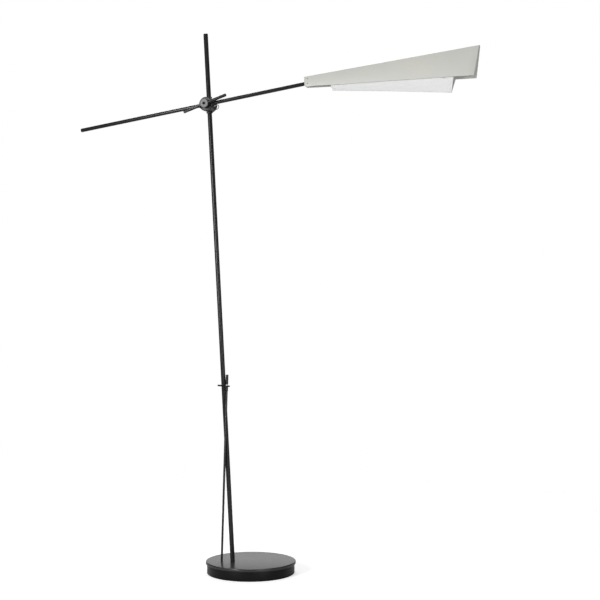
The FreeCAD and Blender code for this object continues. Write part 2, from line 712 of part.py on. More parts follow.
def add_slot(sketch, start, end, radius):
    """A closed outline of two straight edges and two half circles, along the sketch's x."""
    size = value(radius)
    centres = (FreeCAD.Vector(value(start), 0, 0), FreeCAD.Vector(value(end), 0, 0))
    quarter = math.pi / 2
    left = Part.ArcOfCircle(Part.Circle(centres[0], Z_AXIS, size), quarter, 3 * quarter)
    right = Part.ArcOfCircle(Part.Circle(centres[1], Z_AXIS, size), -quarter, quarter)
    up = FreeCAD.Vector(0, size, 0)
    arcs = [sketch.addGeometry(left), sketch.addGeometry(right)]
    top = sketch.addGeometry(Part.LineSegment(centres[1] + up, centres[0] + up))
    bottom = sketch.addGeometry(Part.LineSegment(centres[0] - up, centres[1] - up))
    joints = ((arcs[0], 1, top, 2), (arcs[0], 2, bottom, 1), (arcs[1], 1, bottom, 2), (arcs[1], 2, top, 1))
    for joint in joints:
        sketch.addConstraint(Sketcher.Constraint("Tangent", *joint))
    rule = sketch.addConstraint(Sketcher.Constraint("Radius", arcs[0], size))
    bind(sketch, f"Constraints[{rule}]", radius)
    pin_point(sketch, arcs[0], 3, start, 0)
    pin_point(sketch, arcs[1], 3, end, 0)


def build_dimmer():
    """Fixed post, pressing sleeve and turning knob, on top of the link plate."""
    low = "plate_thick/2"
    knob_low = "plate_thick/2 + knob_gap"
    knob_high = "plate_thick/2 + knob_gap + knob_length"
    foot_top = f"{low} + core_flange_thick"
    core_high = f"{knob_high} - core_top"
    plunger_low = f"{foot_top} + dimmer_travel + plunger_gap"
    plunger_high = f"{knob_high} - plunger_top"
    plunger_inside = f"{plunger_high} - plunger_roof"
    turned("dimmer_core", PLATE, [
        (0, low), ("core_flange", low), ("core_flange", foot_top), ("core_radius", foot_top),
        ("core_radius", core_high), (0, core_high),
    ])
    turned("dimmer_plunger", PLATE, [
        ("core_radius + run_gap", plunger_low), ("plunger_radius", plunger_low),
        ("plunger_radius", plunger_high), (0, plunger_high), (0, plunger_inside),
        ("core_radius + run_gap", plunger_inside),
    ])
    knob = turned("dimmer_knob", PLATE, [
        ("plunger_radius + run_gap", knob_low), ("knob_radius", knob_low), ("knob_radius", knob_high),
        (0, knob_high), (0, f"{knob_high} - knob_roof"),
        ("plunger_radius + run_gap", f"{knob_high} - knob_roof"),
    ])
    ease(knob, "Fillet", "knob_round", rim_at("knob_radius", knob_high))
    ease(knob, "Chamfer", "fine_ease", rim_at("knob_radius", knob_low))


# ---------------------------------------------------------------- hub

def build_pole_carrier():
    """The flanged sleeve that slides on the pole, and its retaining collar."""
    half = "bush_half"
    flange = "bush_radius + flange_wide"
    bush = turned("pole_bush", HUB, [
        ("pole_radius + run_gap", f"-{half}"), ("bush_radius", f"-{half}"),
        ("bush_radius", f"{half} - flange_thick"), (flange, f"{half} - flange_thick"),
        (flange, half), ("pole_radius + run_gap", half),
    ])
    ease(bush, "Chamfer", "ease_size", rim_at(flange, half))
    collar = turned(
        "bush_collar", HUB, washer_profile("bush_radius", flange, f"-{half}", f"flange_thick - {half}"),
    )
    ease(collar, "Chamfer", "ease_size", rim_at(flange, f"-{half}"))


def build_pole_clamp():
    """Rear drum: it turns on the pole bush and carries the tilting front drum."""
    clamp = turned("pole_clamp", CLAMP, [
        (0, "-drum_back"), ("drum_radius", "-drum_back"), ("drum_radius", "drum_split"),
        ("drum_radius - register_in", "drum_split"), ("drum_radius - register_in", "register_front"),
        (0, "register_front"),
    ])
    ease(clamp, "Chamfer", "rear_ease", rim_at("drum_radius", "-drum_back"))
    bore(clamp, "XZ_Plane", "bush_radius + run_gap", OVERCUT)
    bore(clamp, "XY_Plane", "brake_way", "drum_back", "-drum_back", 0, 0, False, True)
    tip = "-bush_radius - brake_gap"
    key_floor = "brake_sink + brake_key_deep - drum_back"
    turned("pole_brake_screw", CLAMP, [
        (0, tip), (0, key_floor), ("brake_key", key_floor), ("brake_key", "brake_sink - drum_back"),
        ("brake_radius", "brake_sink - drum_back"), ("brake_radius", tip),
    ])
    turned(
        "friction_washer", CLAMP,
        washer_profile(
            "washer_bore", "drum_radius - washer_in", "register_front", "register_front + washer_thick",
        ),
    )
    ring = turned("swivel_ring", CLAMP, [
        ("drum_radius - ring_in", "drum_split"), ("drum_radius", "drum_split"),
        ("drum_radius", "ring_front"), ("drum_radius - ring_lip", "ring_front"),
        ("drum_radius - ring_lip", "ring_front - ring_lip_thick"),
        ("drum_radius - ring_in", "ring_front - ring_lip_thick"),
    ])
    ease(ring, "Chamfer", "fine_ease", rim_at("drum_radius", "ring_front"))
    bore(ring, "XZ_Plane", "bush_radius + run_gap", OVERCUT)
    screws = []
    for number, turn in enumerate(RING_SCREW_TURNS):
        radius = value("drum_radius - ring_screw_sink")
        place = on_circle(CLAMP, radius, turn, value("ring_screw_place"), inward=True)
        screws.append(cap_screw(
            f"ring_screw_{number}",
            "ring_screw", "ring_screw_long", "ring_screw_head", "ring_screw_cap", place,
        ))
    group("ring_screws", screws)
    make_room("swivel_ring", screws)
    make_room("pole_clamp", screws)


def make_room(label, tools):
    """Replaces a node by itself less the room that other pieces take in it."""
    result = NODES[label]
    result.Label = result.Name + "_blank"
    for tool in tools:
        cut = doc.addObject("Part::Cut", f"{label}_less_{tool.Name}")
        cut.Base = result
        cut.Tool = tool
        result = cut
    result.Label = label
    NODES[label] = result


def build_arm_clamp():
    """Front drum: it tilts on the rear one, and the arm bush turns in it."""
    flange = "register_front + face_gap"
    lip = f"{flange} + lip_thick"
    waist = "drum_radius - waist_in"
    drum = turned("arm_clamp", TILT, [
        (0, flange), ("drum_radius - lip_in", flange), ("drum_radius - lip_in", lip),
        (waist, lip), (waist, "ring_front + face_gap"),
        ("drum_radius", "ring_front + face_gap"), ("drum_radius", "drum_front"),
        ("neck_radius + boss_wall", "drum_front"), ("neck_radius + boss_wall", "boss_front"),
        (0, "boss_front"),
    ])
    ease(drum, "Chamfer", "front_ease", rim_at("drum_radius", "drum_front"))
    ease(drum, "Chamfer", "fine_ease", rim_at("drum_radius", "ring_front + face_gap"))
    bore(drum, "XY_Plane", "screw_radius + run_gap", OVERCUT, "arm_offset", 0, 0, False, True)
    bore(drum, "XY_Plane", "pad_way", "pad_way_deep", "arm_offset", 0, 0, False, True)
    bore(drum, "YZ_Plane", "sleeve_radius + run_gap", 2 * OVERCUT, 0, 0, "arm_offset")


def build_arm_bush():
    half = "sleeve_half"
    collar = "sleeve_radius + collar_wide"
    bush = turned("arm_bush", ARM, [
        ("arm_radius + run_gap", f"-{half}"), ("sleeve_radius", f"-{half}"),
        ("sleeve_radius", f"{half} - collar_thick"), (collar, f"{half} - collar_thick"), (collar, half),
        ("arm_radius + run_gap", half),
    ])
    ease(bush, "Chamfer", "fine_ease", rim_at(collar, half))
    ring = turned(
        "arm_bush_collar", ARM,
        washer_profile("sleeve_radius", collar, f"-{half}", f"collar_thick - {half}"),
    )
    ease(ring, "Chamfer", "fine_ease", rim_at(collar, f"-{half}"))


def build_clamp_knob():
    """Pressure pad, screw, knob and T-bar: turned, they grip the arm."""
    pad_back = "arm_offset + sleeve_radius + clamp_pad_gap"
    pad_front = f"{pad_back} + clamp_pad_thick"
    screw_end = "bar_offset - bar_radius - screw_gap"
    key_floor = "head_front - key_depth"
    turned("pressure_pad", TILT, washer_profile(0, "clamp_pad", pad_back, pad_front))
    screw = turned("clamp_screw", BAR, washer_profile(0, "screw_radius", pad_front, screw_end))
    ease(screw, "Chamfer", "ease_size", rim_at("screw_radius", pad_front))
    knob = turned("clamp_knob", BAR, [
        ("screw_radius", "neck_back"), ("neck_radius", "neck_back"), ("neck_radius", "head_back"),
        ("head_radius", "head_back"), ("head_radius", "head_front"), ("key_radius", "head_front"),
        ("key_radius", key_floor), (0, key_floor), (0, screw_end),
        ("screw_radius", screw_end),
    ])
    ease(knob, "Fillet", "head_round", rim_at("head_radius", "head_front"))
    ease(knob, "Chamfer", "ease_size", rim_at("head_radius", "head_back"))
    bore(knob, "YZ_Plane", "bar_radius", OVERCUT, 0, 0, "bar_offset")
    bar_place = frame(
        BAR.multVec(Z_AXIS * value("bar_offset")),
        BAR.Rotation.multVec(Y_AXIS),
        BAR.Rotation.multVec(X_AXIS),
    )
    bar = turned("t_bar", bar_place, washer_profile(0, "bar_radius", "-bar_half", "bar_half"))
    ease(bar, "Fillet", "bar_round", lambda edge: isinstance(edge.Curve, Part.Circle))


# The jumper lead's route in the clamp's frame, from the front drum's side round to the rear drum.
LEAD_ROUTE = [
    (20.6, -10.4, 26.0), (30.2, -6.8, 24.4), (36.2, -3.8, 18.4), (37.0, -6.2, 10.4),
    (33.4, -12.2, 3.4), (26.2, -16.4, -1.8), (17.4, -15.2, -4.6),
]
GROMMET_DEPTH = 3.0
GROMMET_NOSE = 3.0


def rounded_path(points, share=0.45):
    """Straight runs through the points, joined by arcs that take that share of the shorter run."""
    edges = []
    radii = []
    start = points[0]
    for before, corner, after in zip(points, points[1:], points[2:]):
        towards = (corner - before).normalize()
        onward = (after - corner).normalize()
        half_turn = towards.getAngle(onward) / 2
        setback = share * min((corner - before).Length, (after - corner).Length)
        radius = setback / math.tan(half_turn)
        inset = radius / math.cos(half_turn) - radius
        middle = corner + (onward - towards).normalize() * inset
        leave = corner + onward * setback
        edges.append(Part.LineSegment(start, corner - towards * setback).toShape())
        edges.append(Part.Arc(corner - towards * setback, middle, leave).toShape())
        radii.append(radius)
        start = leave
    edges.append(Part.LineSegment(start, points[-1]).toShape())
    return Part.Wire(edges), radii


def build_jumper_lead():
    """Short two-core lead that crosses the tilt joint, and the grommets at its ends."""
    points = [FreeCAD.Vector(*point) for point in LEAD_ROUTE]
    leaving = (points[1] - points[0]).normalize()
    arriving = (points[-2] - points[-1]).normalize()
    build_grommet("front_grommet", points[0], leaving)
    build_grommet("rear_grommet", points[-1], arriving)
    points[0] = points[0] + leaving * GROMMET_NOSE
    points[-1] = points[-1] + arriving * GROMMET_NOSE
    wire, radii = rounded_path(points)
    section = Part.Wire(Part.Circle(points[0], leaving, value("lead_radius")).toShape())
    tube = wire.makePipeShell([section], True, False)
    expected = math.pi * value("lead_radius") ** 2 * wire.Length
    print(f"jumper lead: {wire.Length:.1f} mm long, tightest bend {min(radii):.1f} mm, "
          f"volume {tube.Volume:.1f} of {expected:.1f} mm3")
    lead = doc.addObject("Part::Feature", "jumper_lead")
    lead.Label = "jumper_lead"
    lead.Shape = tube
    lead.Placement = CLAMP
    NODES["jumper_lead"] = lead
    make_room("arm_clamp", [NODES["front_grommet"]])
    make_room("pole_clamp", [NODES["rear_grommet"]])


def build_grommet(label, spot, outward):
    """A tapered strain relief, let into a drum where the lead leaves it."""
    local = FreeCAD.Placement(spot, FreeCAD.Rotation(Z_AXIS, outward))
    turned(label, CLAMP.multiply(local), [
        (0, -GROMMET_DEPTH), ("lead_radius + grommet_root", -GROMMET_DEPTH),
        ("lead_radius + grommet_root", "grommet_rim"), ("lead_radius + grommet_tip", GROMMET_NOSE),
        (0, GROMMET_NOSE),
    ])


# ---------------------------------------------------------------- arm and shade

def build_arm():
    tube_end = "cap_thick - arm_left"
    plug = "cap_reach - arm_left"
    turned("arm_tube", ARM, washer_profile("arm_bore", "arm_radius", tube_end, "arm_right"))
    cap = turned("arm_end_cap", ARM, [
        (0, "-arm_left"), ("arm_radius", "-arm_left"), ("arm_radius", tube_end),
        ("arm_bore", tube_end), ("arm_bore", plug), (0, plug),
    ])
    ease(cap, "Fillet", "cap_round", rim_at("arm_radius", "-arm_left"))


def drop_at(along):
    """Depth of the panels' lower edges under the ridge, that far along it."""
    return f"(drop_start + drop_slope*({along}))"


def fold_at(along):
    """Depth of the diffuser's fold, that far along the ridge."""
    return f"(lens_fold + lens_slope*(({along}) - lens_start))"


def channel_outline(drop):
    """Section of the shade: a flat top and two splayed panels, open below, as (y, z)."""
    foot = f"shade_top + shade_splay*{drop}"
    inner_top = "(shade_top - shade_skin*0.8)"
    inner_foot = f"({foot} - shade_skin*1.03)"
    return [
        (f"-({foot})", f"-{drop}"), ("-shade_top", 0), ("shade_top", 0), (foot, f"-{drop}"),
        (inner_foot, f"-{drop}"), (inner_top, "-shade_skin"), (f"-{inner_top}", "-shade_skin"),
        (f"-{inner_foot}", f"-{drop}"),
    ]


def loft(body, outlines):
    """A straight-sided solid through (distance along X, outline) sections."""
    sections = []
    for along, outline in outlines:
        sketch = sketch_on(body, "YZ_Plane", along)
        add_outline(sketch, outline)
        sections.append(sketch)
    feature = body.newObject("PartDesign::AdditiveLoft", body.Name + "_loft")
    feature.Profile = sections[0]
    feature.Sections = sections[1:]
    feature.Ruled = True
    return feature


def slant_cut(body, edge, slope, depth_from=0):
    """Cuts the far end back along a slanted line in the XZ plane."""
    sketch = sketch_on(body, "XZ_Plane")
    add_outline(sketch, [
        (f"{edge} + {slope}*{CUT_ABOVE}", f"{CUT_ABOVE} - ({depth_from})"),
        (f"{edge} - {slope}*{CUT_BELOW}", f"-{CUT_BELOW} - ({depth_from})"),
        (f"{edge} + {CUT_PAST}", f"-{CUT_BELOW} - ({depth_from})"),
        (f"{edge} + {CUT_PAST}", f"{CUT_ABOVE} - ({depth_from})"),
    ])
    return pocket(body, sketch, 4 * OVERCUT, True)


def build_shade():
    shell = new_body("shade_shell", SHADE)
    narrow = channel_outline(drop_at("0"))
    wide = channel_outline(drop_at("shade_length"))
    loft(shell, [(0, narrow), ("shade_length", wide)])
    slant_cut(shell, "shade_length", "shade_slant")
    build_end_plate()
    build_bracket()
    build_shade_screws()


def inner_half(drop):
    """Half the width inside the channel at that depth, less a hair of room."""
    return f"(shade_top - shade_skin*0.8 + shade_splay*({drop} - shade_skin) - side_gap)"


def trapezoid(top, bottom):
    """An outline that fills the channel between two depths."""
    return [
        (f"-{inner_half(top)}", f"-({top})"), (inner_half(top), f"-({top})"),
        (inner_half(bottom), f"-({bottom})"), (f"-{inner_half(bottom)}", f"-({bottom})"),
    ]


def build_end_plate():
    """Closes the narrow end; the arm passes through it."""
    plate = new_body("shade_end_plate", SHADE)
    outline = sketch_on(plate, "YZ_Plane", "end_plate_in")
    add_outline(outline, trapezoid("shade_skin + shade_gap", "drop_start - end_plate_foot"))
    pad(plate, outline, "end_plate_thick")
    cut_along_arm(plate)


def build_bracket():
    """Aluminium block inside the narrow end, which grips the arm."""
    block = new_body("arm_bracket", SHADE)
    start = "end_plate_in + end_plate_thick"
    outline = sketch_on(block, "YZ_Plane", start)
    add_outline(outline, trapezoid("shade_skin + shade_gap", "drop_start - bracket_foot"))
    pad(block, outline, f"bracket_length - ({start})")
    cut_along_arm(block)


def cut_along_arm(body):
    """Bores the body for the arm, whose line is a little steeper than the ridge."""
    sketch = body.newObject("Sketcher::SketchObject", body.Name + "_arm_bore")
    sketch.MapMode = "Deactivated"
    sketch.Placement = SHADE.inverse().multiply(moved(ARM, z=value("shade_start") - 20))
    add_circle(sketch, "arm_radius")
    pocket(body, sketch, "shade_start", False, True)


def build_shade_screws():
    """Two screws in each panel that hold the shell to the bracket."""
    screws = []
    splay = math.atan(value("shade_splay"))
    for side in (-1, 1):
        outward = FreeCAD.Vector(0, side * math.cos(splay), math.sin(splay))
        for number, depth in enumerate(SHADE_SCREW_DEPTHS):
            half = value("shade_top") + value("shade_splay") * depth
            spot = FreeCAD.Vector(SHADE_SCREW_ALONG, side * half, -depth)
            place = SHADE.multiply(frame(spot, X_AXIS, -outward))
            name = f"shade_screw_{'front' if side < 0 else 'rear'}_{number}"
            screws.append(cap_screw(
                name, "shade_screw", "shade_screw_long", "shade_screw_head", "shade_screw_cap", place,
            ))
    group("shade_screws", screws)
    make_room("shade_shell", screws)
    make_room("arm_bracket", screws)


def build_light():
    """Lamp rail, board and chips under the shade's top."""
    rail = new_body("lamp_rail", SHADE)
    outline = sketch_on(rail, "YZ_Plane", "rail_start")
    add_outline(outline, trapezoid("shade_skin + shade_gap", "shade_skin + rail_thick"))
    pad(rail, outline, "rail_length")
    board = new_body("lamp_board", SHADE)
    top = "-(shade_skin + rail_thick)"
    face = sketch_on(board, "XY_Plane", f"{top} - board_thick")
    low, high = "rail_start + board_inset", "rail_start + rail_length - board_inset"
    add_outline(face, [
        (low, "-board_half"), (high, "-board_half"), (high, "board_half"), (low, "board_half"),
    ])
    pad(board, face, "board_thick")
    chips = []
    pitch = (value("rail_length") - 2 * CHIP_INSET - CHIP_SIZE[0]) / (CHIP_COUNT - 1)
    under_board = -value("shade_skin + rail_thick + board_thick")
    for number in range(CHIP_COUNT):
        chip = doc.addObject("Part::Box", f"lamp_chip_{number}")
        for side, size in zip(("Length", "Width", "Height"), CHIP_SIZE):
            bind(chip, side, size)
        along = value("rail_start") + CHIP_INSET + number * pitch
        chip.Placement = moved(SHADE, along, -CHIP_SIZE[1] / 2, under_board - CHIP_SIZE[2])
        chips.append(chip)
    group("lamp_chips", chips)


def lens_outline(along, inset):
    """Half section of the diffuser's wedge, as (y, z), set in by the given amount."""
    top = f"({drop_at(along)} - lens_lap)"
    half = f"({inner_half(drop_at(along))} - lens_gap - ({inset}))"
    return half, top, f"({fold_at(along)} - 1.6*({inset}))"


def vee(along):
    """Section of the diffuser: a folded sheet, open above."""
    half, top, fold = lens_outline(along, "0")
    inner, _, inner_fold = lens_outline(along, "lens_sheet")
    return [
        (f"-{half}", f"-{top}"), (0, f"-{fold}"), (half, f"-{top}"),
        (inner, f"-{top}"), (0, f"-{inner_fold}"), (f"-{inner}", f"-{top}"),
    ]


def wedge(along):
    """The triangle inside that fold."""
    inner, top, inner_fold = lens_outline(along, "lens_sheet + shade_gap")
    return [(f"-{inner}", f"-({top})"), (0, f"-{inner_fold}"), (inner, f"-({top})")]


def build_diffuser():
    lens = new_body("diffuser", SHADE)
    far = "lens_end + 10"
    loft(lens, [("lens_start", vee("lens_start")), (far, vee(far))])
    slant_cut(lens, "lens_end", "lens_slant", drop_at("lens_end"))
    start_cap = new_body("diffuser_end_narrow", SHADE)
    near = "lens_start + lens_cap_thick"
    loft(start_cap, [("lens_start", wedge("lens_start")), (near, wedge(near))])
    end_cap = new_body("diffuser_end_wide", SHADE)
    loft(end_cap, [("lens_end - 60", wedge("lens_end - 60")), (far, wedge(far))])
    slant_cut(end_cap, "lens_end", "lens_slant", drop_at("lens_end"))
    cut_back = sketch_on(end_cap, "XZ_Plane")
    lower = drop_at("lens_end")
    add_outline(cut_back, [
        ("lens_end - lens_cap_thick + lens_slant*20", f"20 - {lower}"),
        ("lens_end - lens_cap_thick - lens_slant*120", f"-120 - {lower}"),
        ("lens_end - 120", f"-120 - {lower}"), ("lens_end - 120", f"20 - {lower}"),
    ])
    pocket(end_cap, cut_back, 4 * OVERCUT, True)


def build_clips():
    """Spring clips that hook the diffuser's edges to the panels."""
    clips = []
    length, width, thick = CLIP_SIZE
    for along in CLIP_PLACES:
        drop = value(drop_at(along))
        half = value(f"shade_top + shade_splay*{drop}")
        for side in (-1, 1):
            clip = doc.addObject("Part::Box", f"diffuser_clip_{len(clips)}")
            for edge, size in zip(("Length", "Width", "Height"), (length, width, thick)):
                bind(clip, edge, size)
            low = -(drop + value("drop_slope") * length / 2) - CLIP_DROP
            across = side * (half - CLIP_INSET) - width / 2
            clip.Placement = moved(SHADE, along - length / 2, across, low)
            clips.append(clip)
    group("diffuser_clips", clips)


# ---------------------------------------------------------------- build, check and write

def check_document():
    """Stops at any object that failed, and at any sub-part without a sound shape."""
    doc.recompute()
    failed = [item.Name for item in doc.Objects if {"Invalid", "Error"} & set(item.State)]
    if failed:
        raise RuntimeError("failed objects: " + ", ".join(failed))
    for label, node in NODES.items():
        if node.Shape.isNull() or not node.Shape.isValid() or not node.Shape.Solids:
            raise RuntimeError(f"{label} has no sound shape")


def write_parts():
    os.makedirs("parts", exist_ok=True)
    for label, node in NODES.items():
        node.Shape.exportStep(f"parts/{label}.step")
    print(f"{len(NODES)} nodes, {sum(len(node.Shape.Solids) for node in NODES.values())} solids")


build_base()
build_pole()
build_stem()
build_link_plate()
build_dimmer()
build_pole_carrier()
build_pole_clamp()
build_arm_clamp()
build_arm_bush()
build_clamp_knob()
build_jumper_lead()
build_arm()
build_shade()
build_light()
build_diffuser()
build_clips()
check_document()
write_parts()
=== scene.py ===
"""Looks of the adjustable arm floor lamp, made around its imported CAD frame, in metres."""
import bmesh
import bpy
import json
import math
from mathutils import Matrix, Vector


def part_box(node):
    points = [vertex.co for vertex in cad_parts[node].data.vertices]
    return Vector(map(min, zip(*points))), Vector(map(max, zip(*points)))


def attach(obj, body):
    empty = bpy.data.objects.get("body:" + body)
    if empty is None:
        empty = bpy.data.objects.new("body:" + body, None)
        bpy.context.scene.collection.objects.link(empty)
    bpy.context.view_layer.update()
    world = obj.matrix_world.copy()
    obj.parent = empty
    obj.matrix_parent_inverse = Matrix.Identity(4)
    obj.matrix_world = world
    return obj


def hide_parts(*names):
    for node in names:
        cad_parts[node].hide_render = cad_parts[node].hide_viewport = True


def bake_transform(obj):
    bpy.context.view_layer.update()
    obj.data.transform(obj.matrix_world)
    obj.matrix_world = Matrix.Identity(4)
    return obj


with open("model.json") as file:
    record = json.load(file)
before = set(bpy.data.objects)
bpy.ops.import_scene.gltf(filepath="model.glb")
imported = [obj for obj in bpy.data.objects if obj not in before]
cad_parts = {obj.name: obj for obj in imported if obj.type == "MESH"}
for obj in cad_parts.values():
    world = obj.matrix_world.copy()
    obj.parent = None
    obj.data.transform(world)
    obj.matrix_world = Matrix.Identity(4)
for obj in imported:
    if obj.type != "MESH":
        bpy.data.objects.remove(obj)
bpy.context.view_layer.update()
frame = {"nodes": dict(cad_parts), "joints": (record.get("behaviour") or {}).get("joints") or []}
NODES = frame["nodes"]
JOINTS = {joint["name"]: joint for joint in frame["joints"]}

MM = 0.001
SHARP_ANGLE = math.radians(35)

# ------------------------------------------------------------------ places, from the frame


def axes_at(origin, x_axis, z_axis):
    """A matrix that puts local X and Z along the given ways; local sizes are in millimetres."""
    z_way = Vector(z_axis).normalized()
    y_way = z_way.cross(Vector(x_axis)).normalized()
    x_way = y_way.cross(z_way)
    turn = Matrix((x_way, y_way, z_way)).transposed().to_4x4()
    return Matrix.Translation(origin) @ turn @ Matrix.Scale(MM, 4)


def joint_axis(name):
    return Vector(JOINTS[name]["axis"])


def joint_point(name):
    return Vector(JOINTS[name]["pos_m"])


BASE_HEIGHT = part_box("base_lid")[1].z
UP = joint_axis("height_slide")
FRONT = joint_axis("arm_tilt")
ARM_LINE = joint_axis("arm_reach")
HUB_POINT = joint_point("hub_swivel")
ARM_POINT = joint_point("arm_roll")
STEM_UP = joint_axis("dimmer_press")
KNOB_POINT = joint_point("dimmer_turn")
SIDE = Vector((1, 0, 0))
# How far the dimmer joint's point stands over the link plate's middle, in millimetres.
KNOB_MIDDLE = 20.0

STAND = Matrix.Scale(MM, 4)
POLE_FOOT = HUB_POINT - UP * ((HUB_POINT.z - BASE_HEIGHT) / UP.z)
STEM_FOOT = KNOB_POINT - STEM_UP * ((KNOB_POINT.z - BASE_HEIGHT) / STEM_UP.z)
POLE = axes_at(POLE_FOOT, SIDE, UP)
STEM = axes_at(STEM_FOOT, SIDE, STEM_UP)
PLATE = axes_at(KNOB_POINT - STEM_UP * KNOB_MIDDLE * MM, SIDE, STEM_UP)
CLAMP = axes_at(HUB_POINT, UP.cross(FRONT), FRONT)
TILT = axes_at(HUB_POINT, ARM_LINE, FRONT)
ARM = axes_at(ARM_POINT, FRONT, ARM_LINE)
BAR_PITCH = math.radians(16.5)
BAR = CLAMP @ Matrix.Rotation(BAR_PITCH, 4, "Z")

# The shade's own frame: X along its ridge, Y to the rear, Z square to its top.
SHADE_START = 343.4
SHADE_RISE = 21.0
SHADE_DIP = math.radians(1.55)
SHADE_ORIGIN = TILT @ Vector((SHADE_START, SHADE_RISE, (ARM_POINT - HUB_POINT).dot(FRONT) / MM))
RIDGE = (TILT.to_3x3() @ Vector((math.cos(SHADE_DIP), -math.sin(SHADE_DIP), 0))).normalized()
SHADE = axes_at(SHADE_ORIGIN, RIDGE, RIDGE.cross(-FRONT))


# ------------------------------------------------------------------ camera, lights, floor

CAMERA_PLACE = (0.164, -4.350, 0.910)
CAMERA_LENS = 78.2
SENSOR_WIDTH = 36
FLOOR_GLOW = 0.6
FLOOR_HALF = 6.0
# Distances from the centre where the floor starts to fade, and where it is gone.
FLOOR_FADE = (0.5, 2.4)
FLOOR_COLOR = (0.93, 0.93, 0.93, 1)
FLOOR_ROUGHNESS = 0.9
SEEN_LIGHT = 1.0
ROOM_LIGHT = 0.10
# Name, place, what it looks at, width and height in metres, and power in watts.
SOFTBOXES = [
    ("softbox_key", (-3.4, -4.4, 1.9), (0.0, 0.0, 1.15), 1.2, 2.8, 235),
    ("softbox_fill", (2.6, -4.4, 1.3), (0.3, 0.0, 1.4), 1.0, 1.6, 46),
    ("softbox_low_front", (1.0, -1.5, 0.25), (0.5, 0.0, 1.6), 0.9, 0.6, 6),
    ("softbox_top", (0.2, -0.6, 3.8), (0.1, 0.0, 0.6), 2.4, 2.4, 12),
    ("softbox_low_back", (0.0, 3.2, 0.74), (0.0, 0.0, 0.62), 3.4, 0.9, 9),
    ("softbox_back", (-0.6, 4.0, 4.2), (0.1, 0.0, 1.2), 2.2, 1.4, 60),
]


def add_camera():
    """A level camera that looks along +Y."""
    data = bpy.data.cameras.new("camera")
    data.lens = CAMERA_LENS
    data.sensor_width = SENSOR_WIDTH
    camera = bpy.data.objects.new("camera", data)
    camera.location = CAMERA_PLACE
    camera.rotation_euler = (math.pi / 2, 0, 0)
    bpy.context.collection.objects.link(camera)
    bpy.context.scene.camera = camera


def add_softbox(name, place, target, width, height, power):
    """A rectangular area light that looks at a point."""
    data = bpy.data.lights.new(name, "AREA")
    data.shape = "RECTANGLE"
    data.size = width
    data.size_y = height
    data.energy = power
    lamp = bpy.data.objects.new(name, data)
    lamp.location = place
    way = Vector(target) - Vector(place)
    lamp.rotation_euler = way.to_track_quat("-Z", "Y").to_euler()
    lamp.visible_camera = False
    bpy.context.collection.objects.link(lamp)


def add_lights():
    for softbox in SOFTBOXES:
        add_softbox(*softbox)


def white_background(tree, strength):
    made = tree.nodes.new("ShaderNodeBackground")
    made.inputs["Color"].default_value = (1, 1, 1, 1)
    made.inputs["Strength"].default_value = strength
    return made


def add_world():
    """White behind the object, and a dimmer room for what the object reflects."""
    world = bpy.data.worlds.new("studio")
    world.use_nodes = True
    tree = world.node_tree
    tree.nodes.clear()
    out = tree.nodes.new("ShaderNodeOutputWorld")
    seen = white_background(tree, SEEN_LIGHT)
    room = white_background(tree, ROOM_LIGHT)
    path = tree.nodes.new("ShaderNodeLightPath")
    mix = tree.nodes.new("ShaderNodeMixShader")
    tree.links.new(path.outputs["Is Camera Ray"], mix.inputs["Fac"])
    tree.links.new(room.outputs[0], mix.inputs[1])
    tree.links.new(seen.outputs[0], mix.inputs[2])
    tree.links.new(mix.outputs[0], out.inputs["Surface"])
    bpy.context.scene.world = world


def add_floor():
    """A pale floor that fades into the white of the room."""
    half = FLOOR_HALF
    corners = [(-half, -half, 0), (half, -half, 0), (half, half, 0), (-half, half, 0)]
    mesh = bpy.data.meshes.new("floor")
    mesh.from_pydata(corners, [], [(0, 1, 2, 3)])
    floor = bpy.data.objects.new("floor", mesh)
    bpy.context.collection.objects.link(floor)
    material = bpy.data.materials.new("pale_floor")
    material.use_nodes = True
    tree = material.node_tree
    shader = tree.nodes["Principled BSDF"]
    shader.inputs["Base Color"].default_value = FLOOR_COLOR
    shader.inputs["Roughness"].default_value = FLOOR_ROUGHNESS
    coords = tree.nodes.new("ShaderNodeTexCoord")
    reach = tree.nodes.new("ShaderNodeVectorMath")
    reach.operation = "LENGTH"
    fade = tree.nodes.new("ShaderNodeMapRange")
    fade.interpolation_type = "SMOOTHSTEP"
    fade.inputs["From Min"].default_value = FLOOR_FADE[0]
    fade.inputs["From Max"].default_value = FLOOR_FADE[1]
    clear = tree.nodes.new("ShaderNodeBsdfTransparent")
    mix = tree.nodes.new("ShaderNodeMixShader")
    tree.links.new(coords.outputs["Object"], reach.inputs[0])
    tree.links.new(reach.outputs["Value"], fade.inputs["Value"])
    tree.links.new(fade.outputs["Result"], mix.inputs["Fac"])
    glow = tree.nodes.new("ShaderNodeEmission")
    path = tree.nodes.new("ShaderNodeLightPath")
    strength = tree.nodes.new("ShaderNodeMath")
    strength.operation = "MULTIPLY"
    strength.inputs[1].default_value = FLOOR_GLOW
    both = tree.nodes.new("ShaderNodeAddShader")
    tree.links.new(path.outputs["Is Camera Ray"], strength.inputs[0])
    tree.links.new(strength.outputs[0], glow.inputs["Strength"])
    tree.links.new(shader.outputs[0], both.inputs[0])
    tree.links.new(glow.outputs[0], both.inputs[1])
    tree.links.new(both.outputs[0], mix.inputs[1])
    tree.links.new(clear.outputs[0], mix.inputs[2])
    tree.links.new(mix.outputs[0], tree.nodes["Material Output"].inputs["Surface"])
    floor.data.materials.append(material)


# ------------------------------------------------------------------ materials


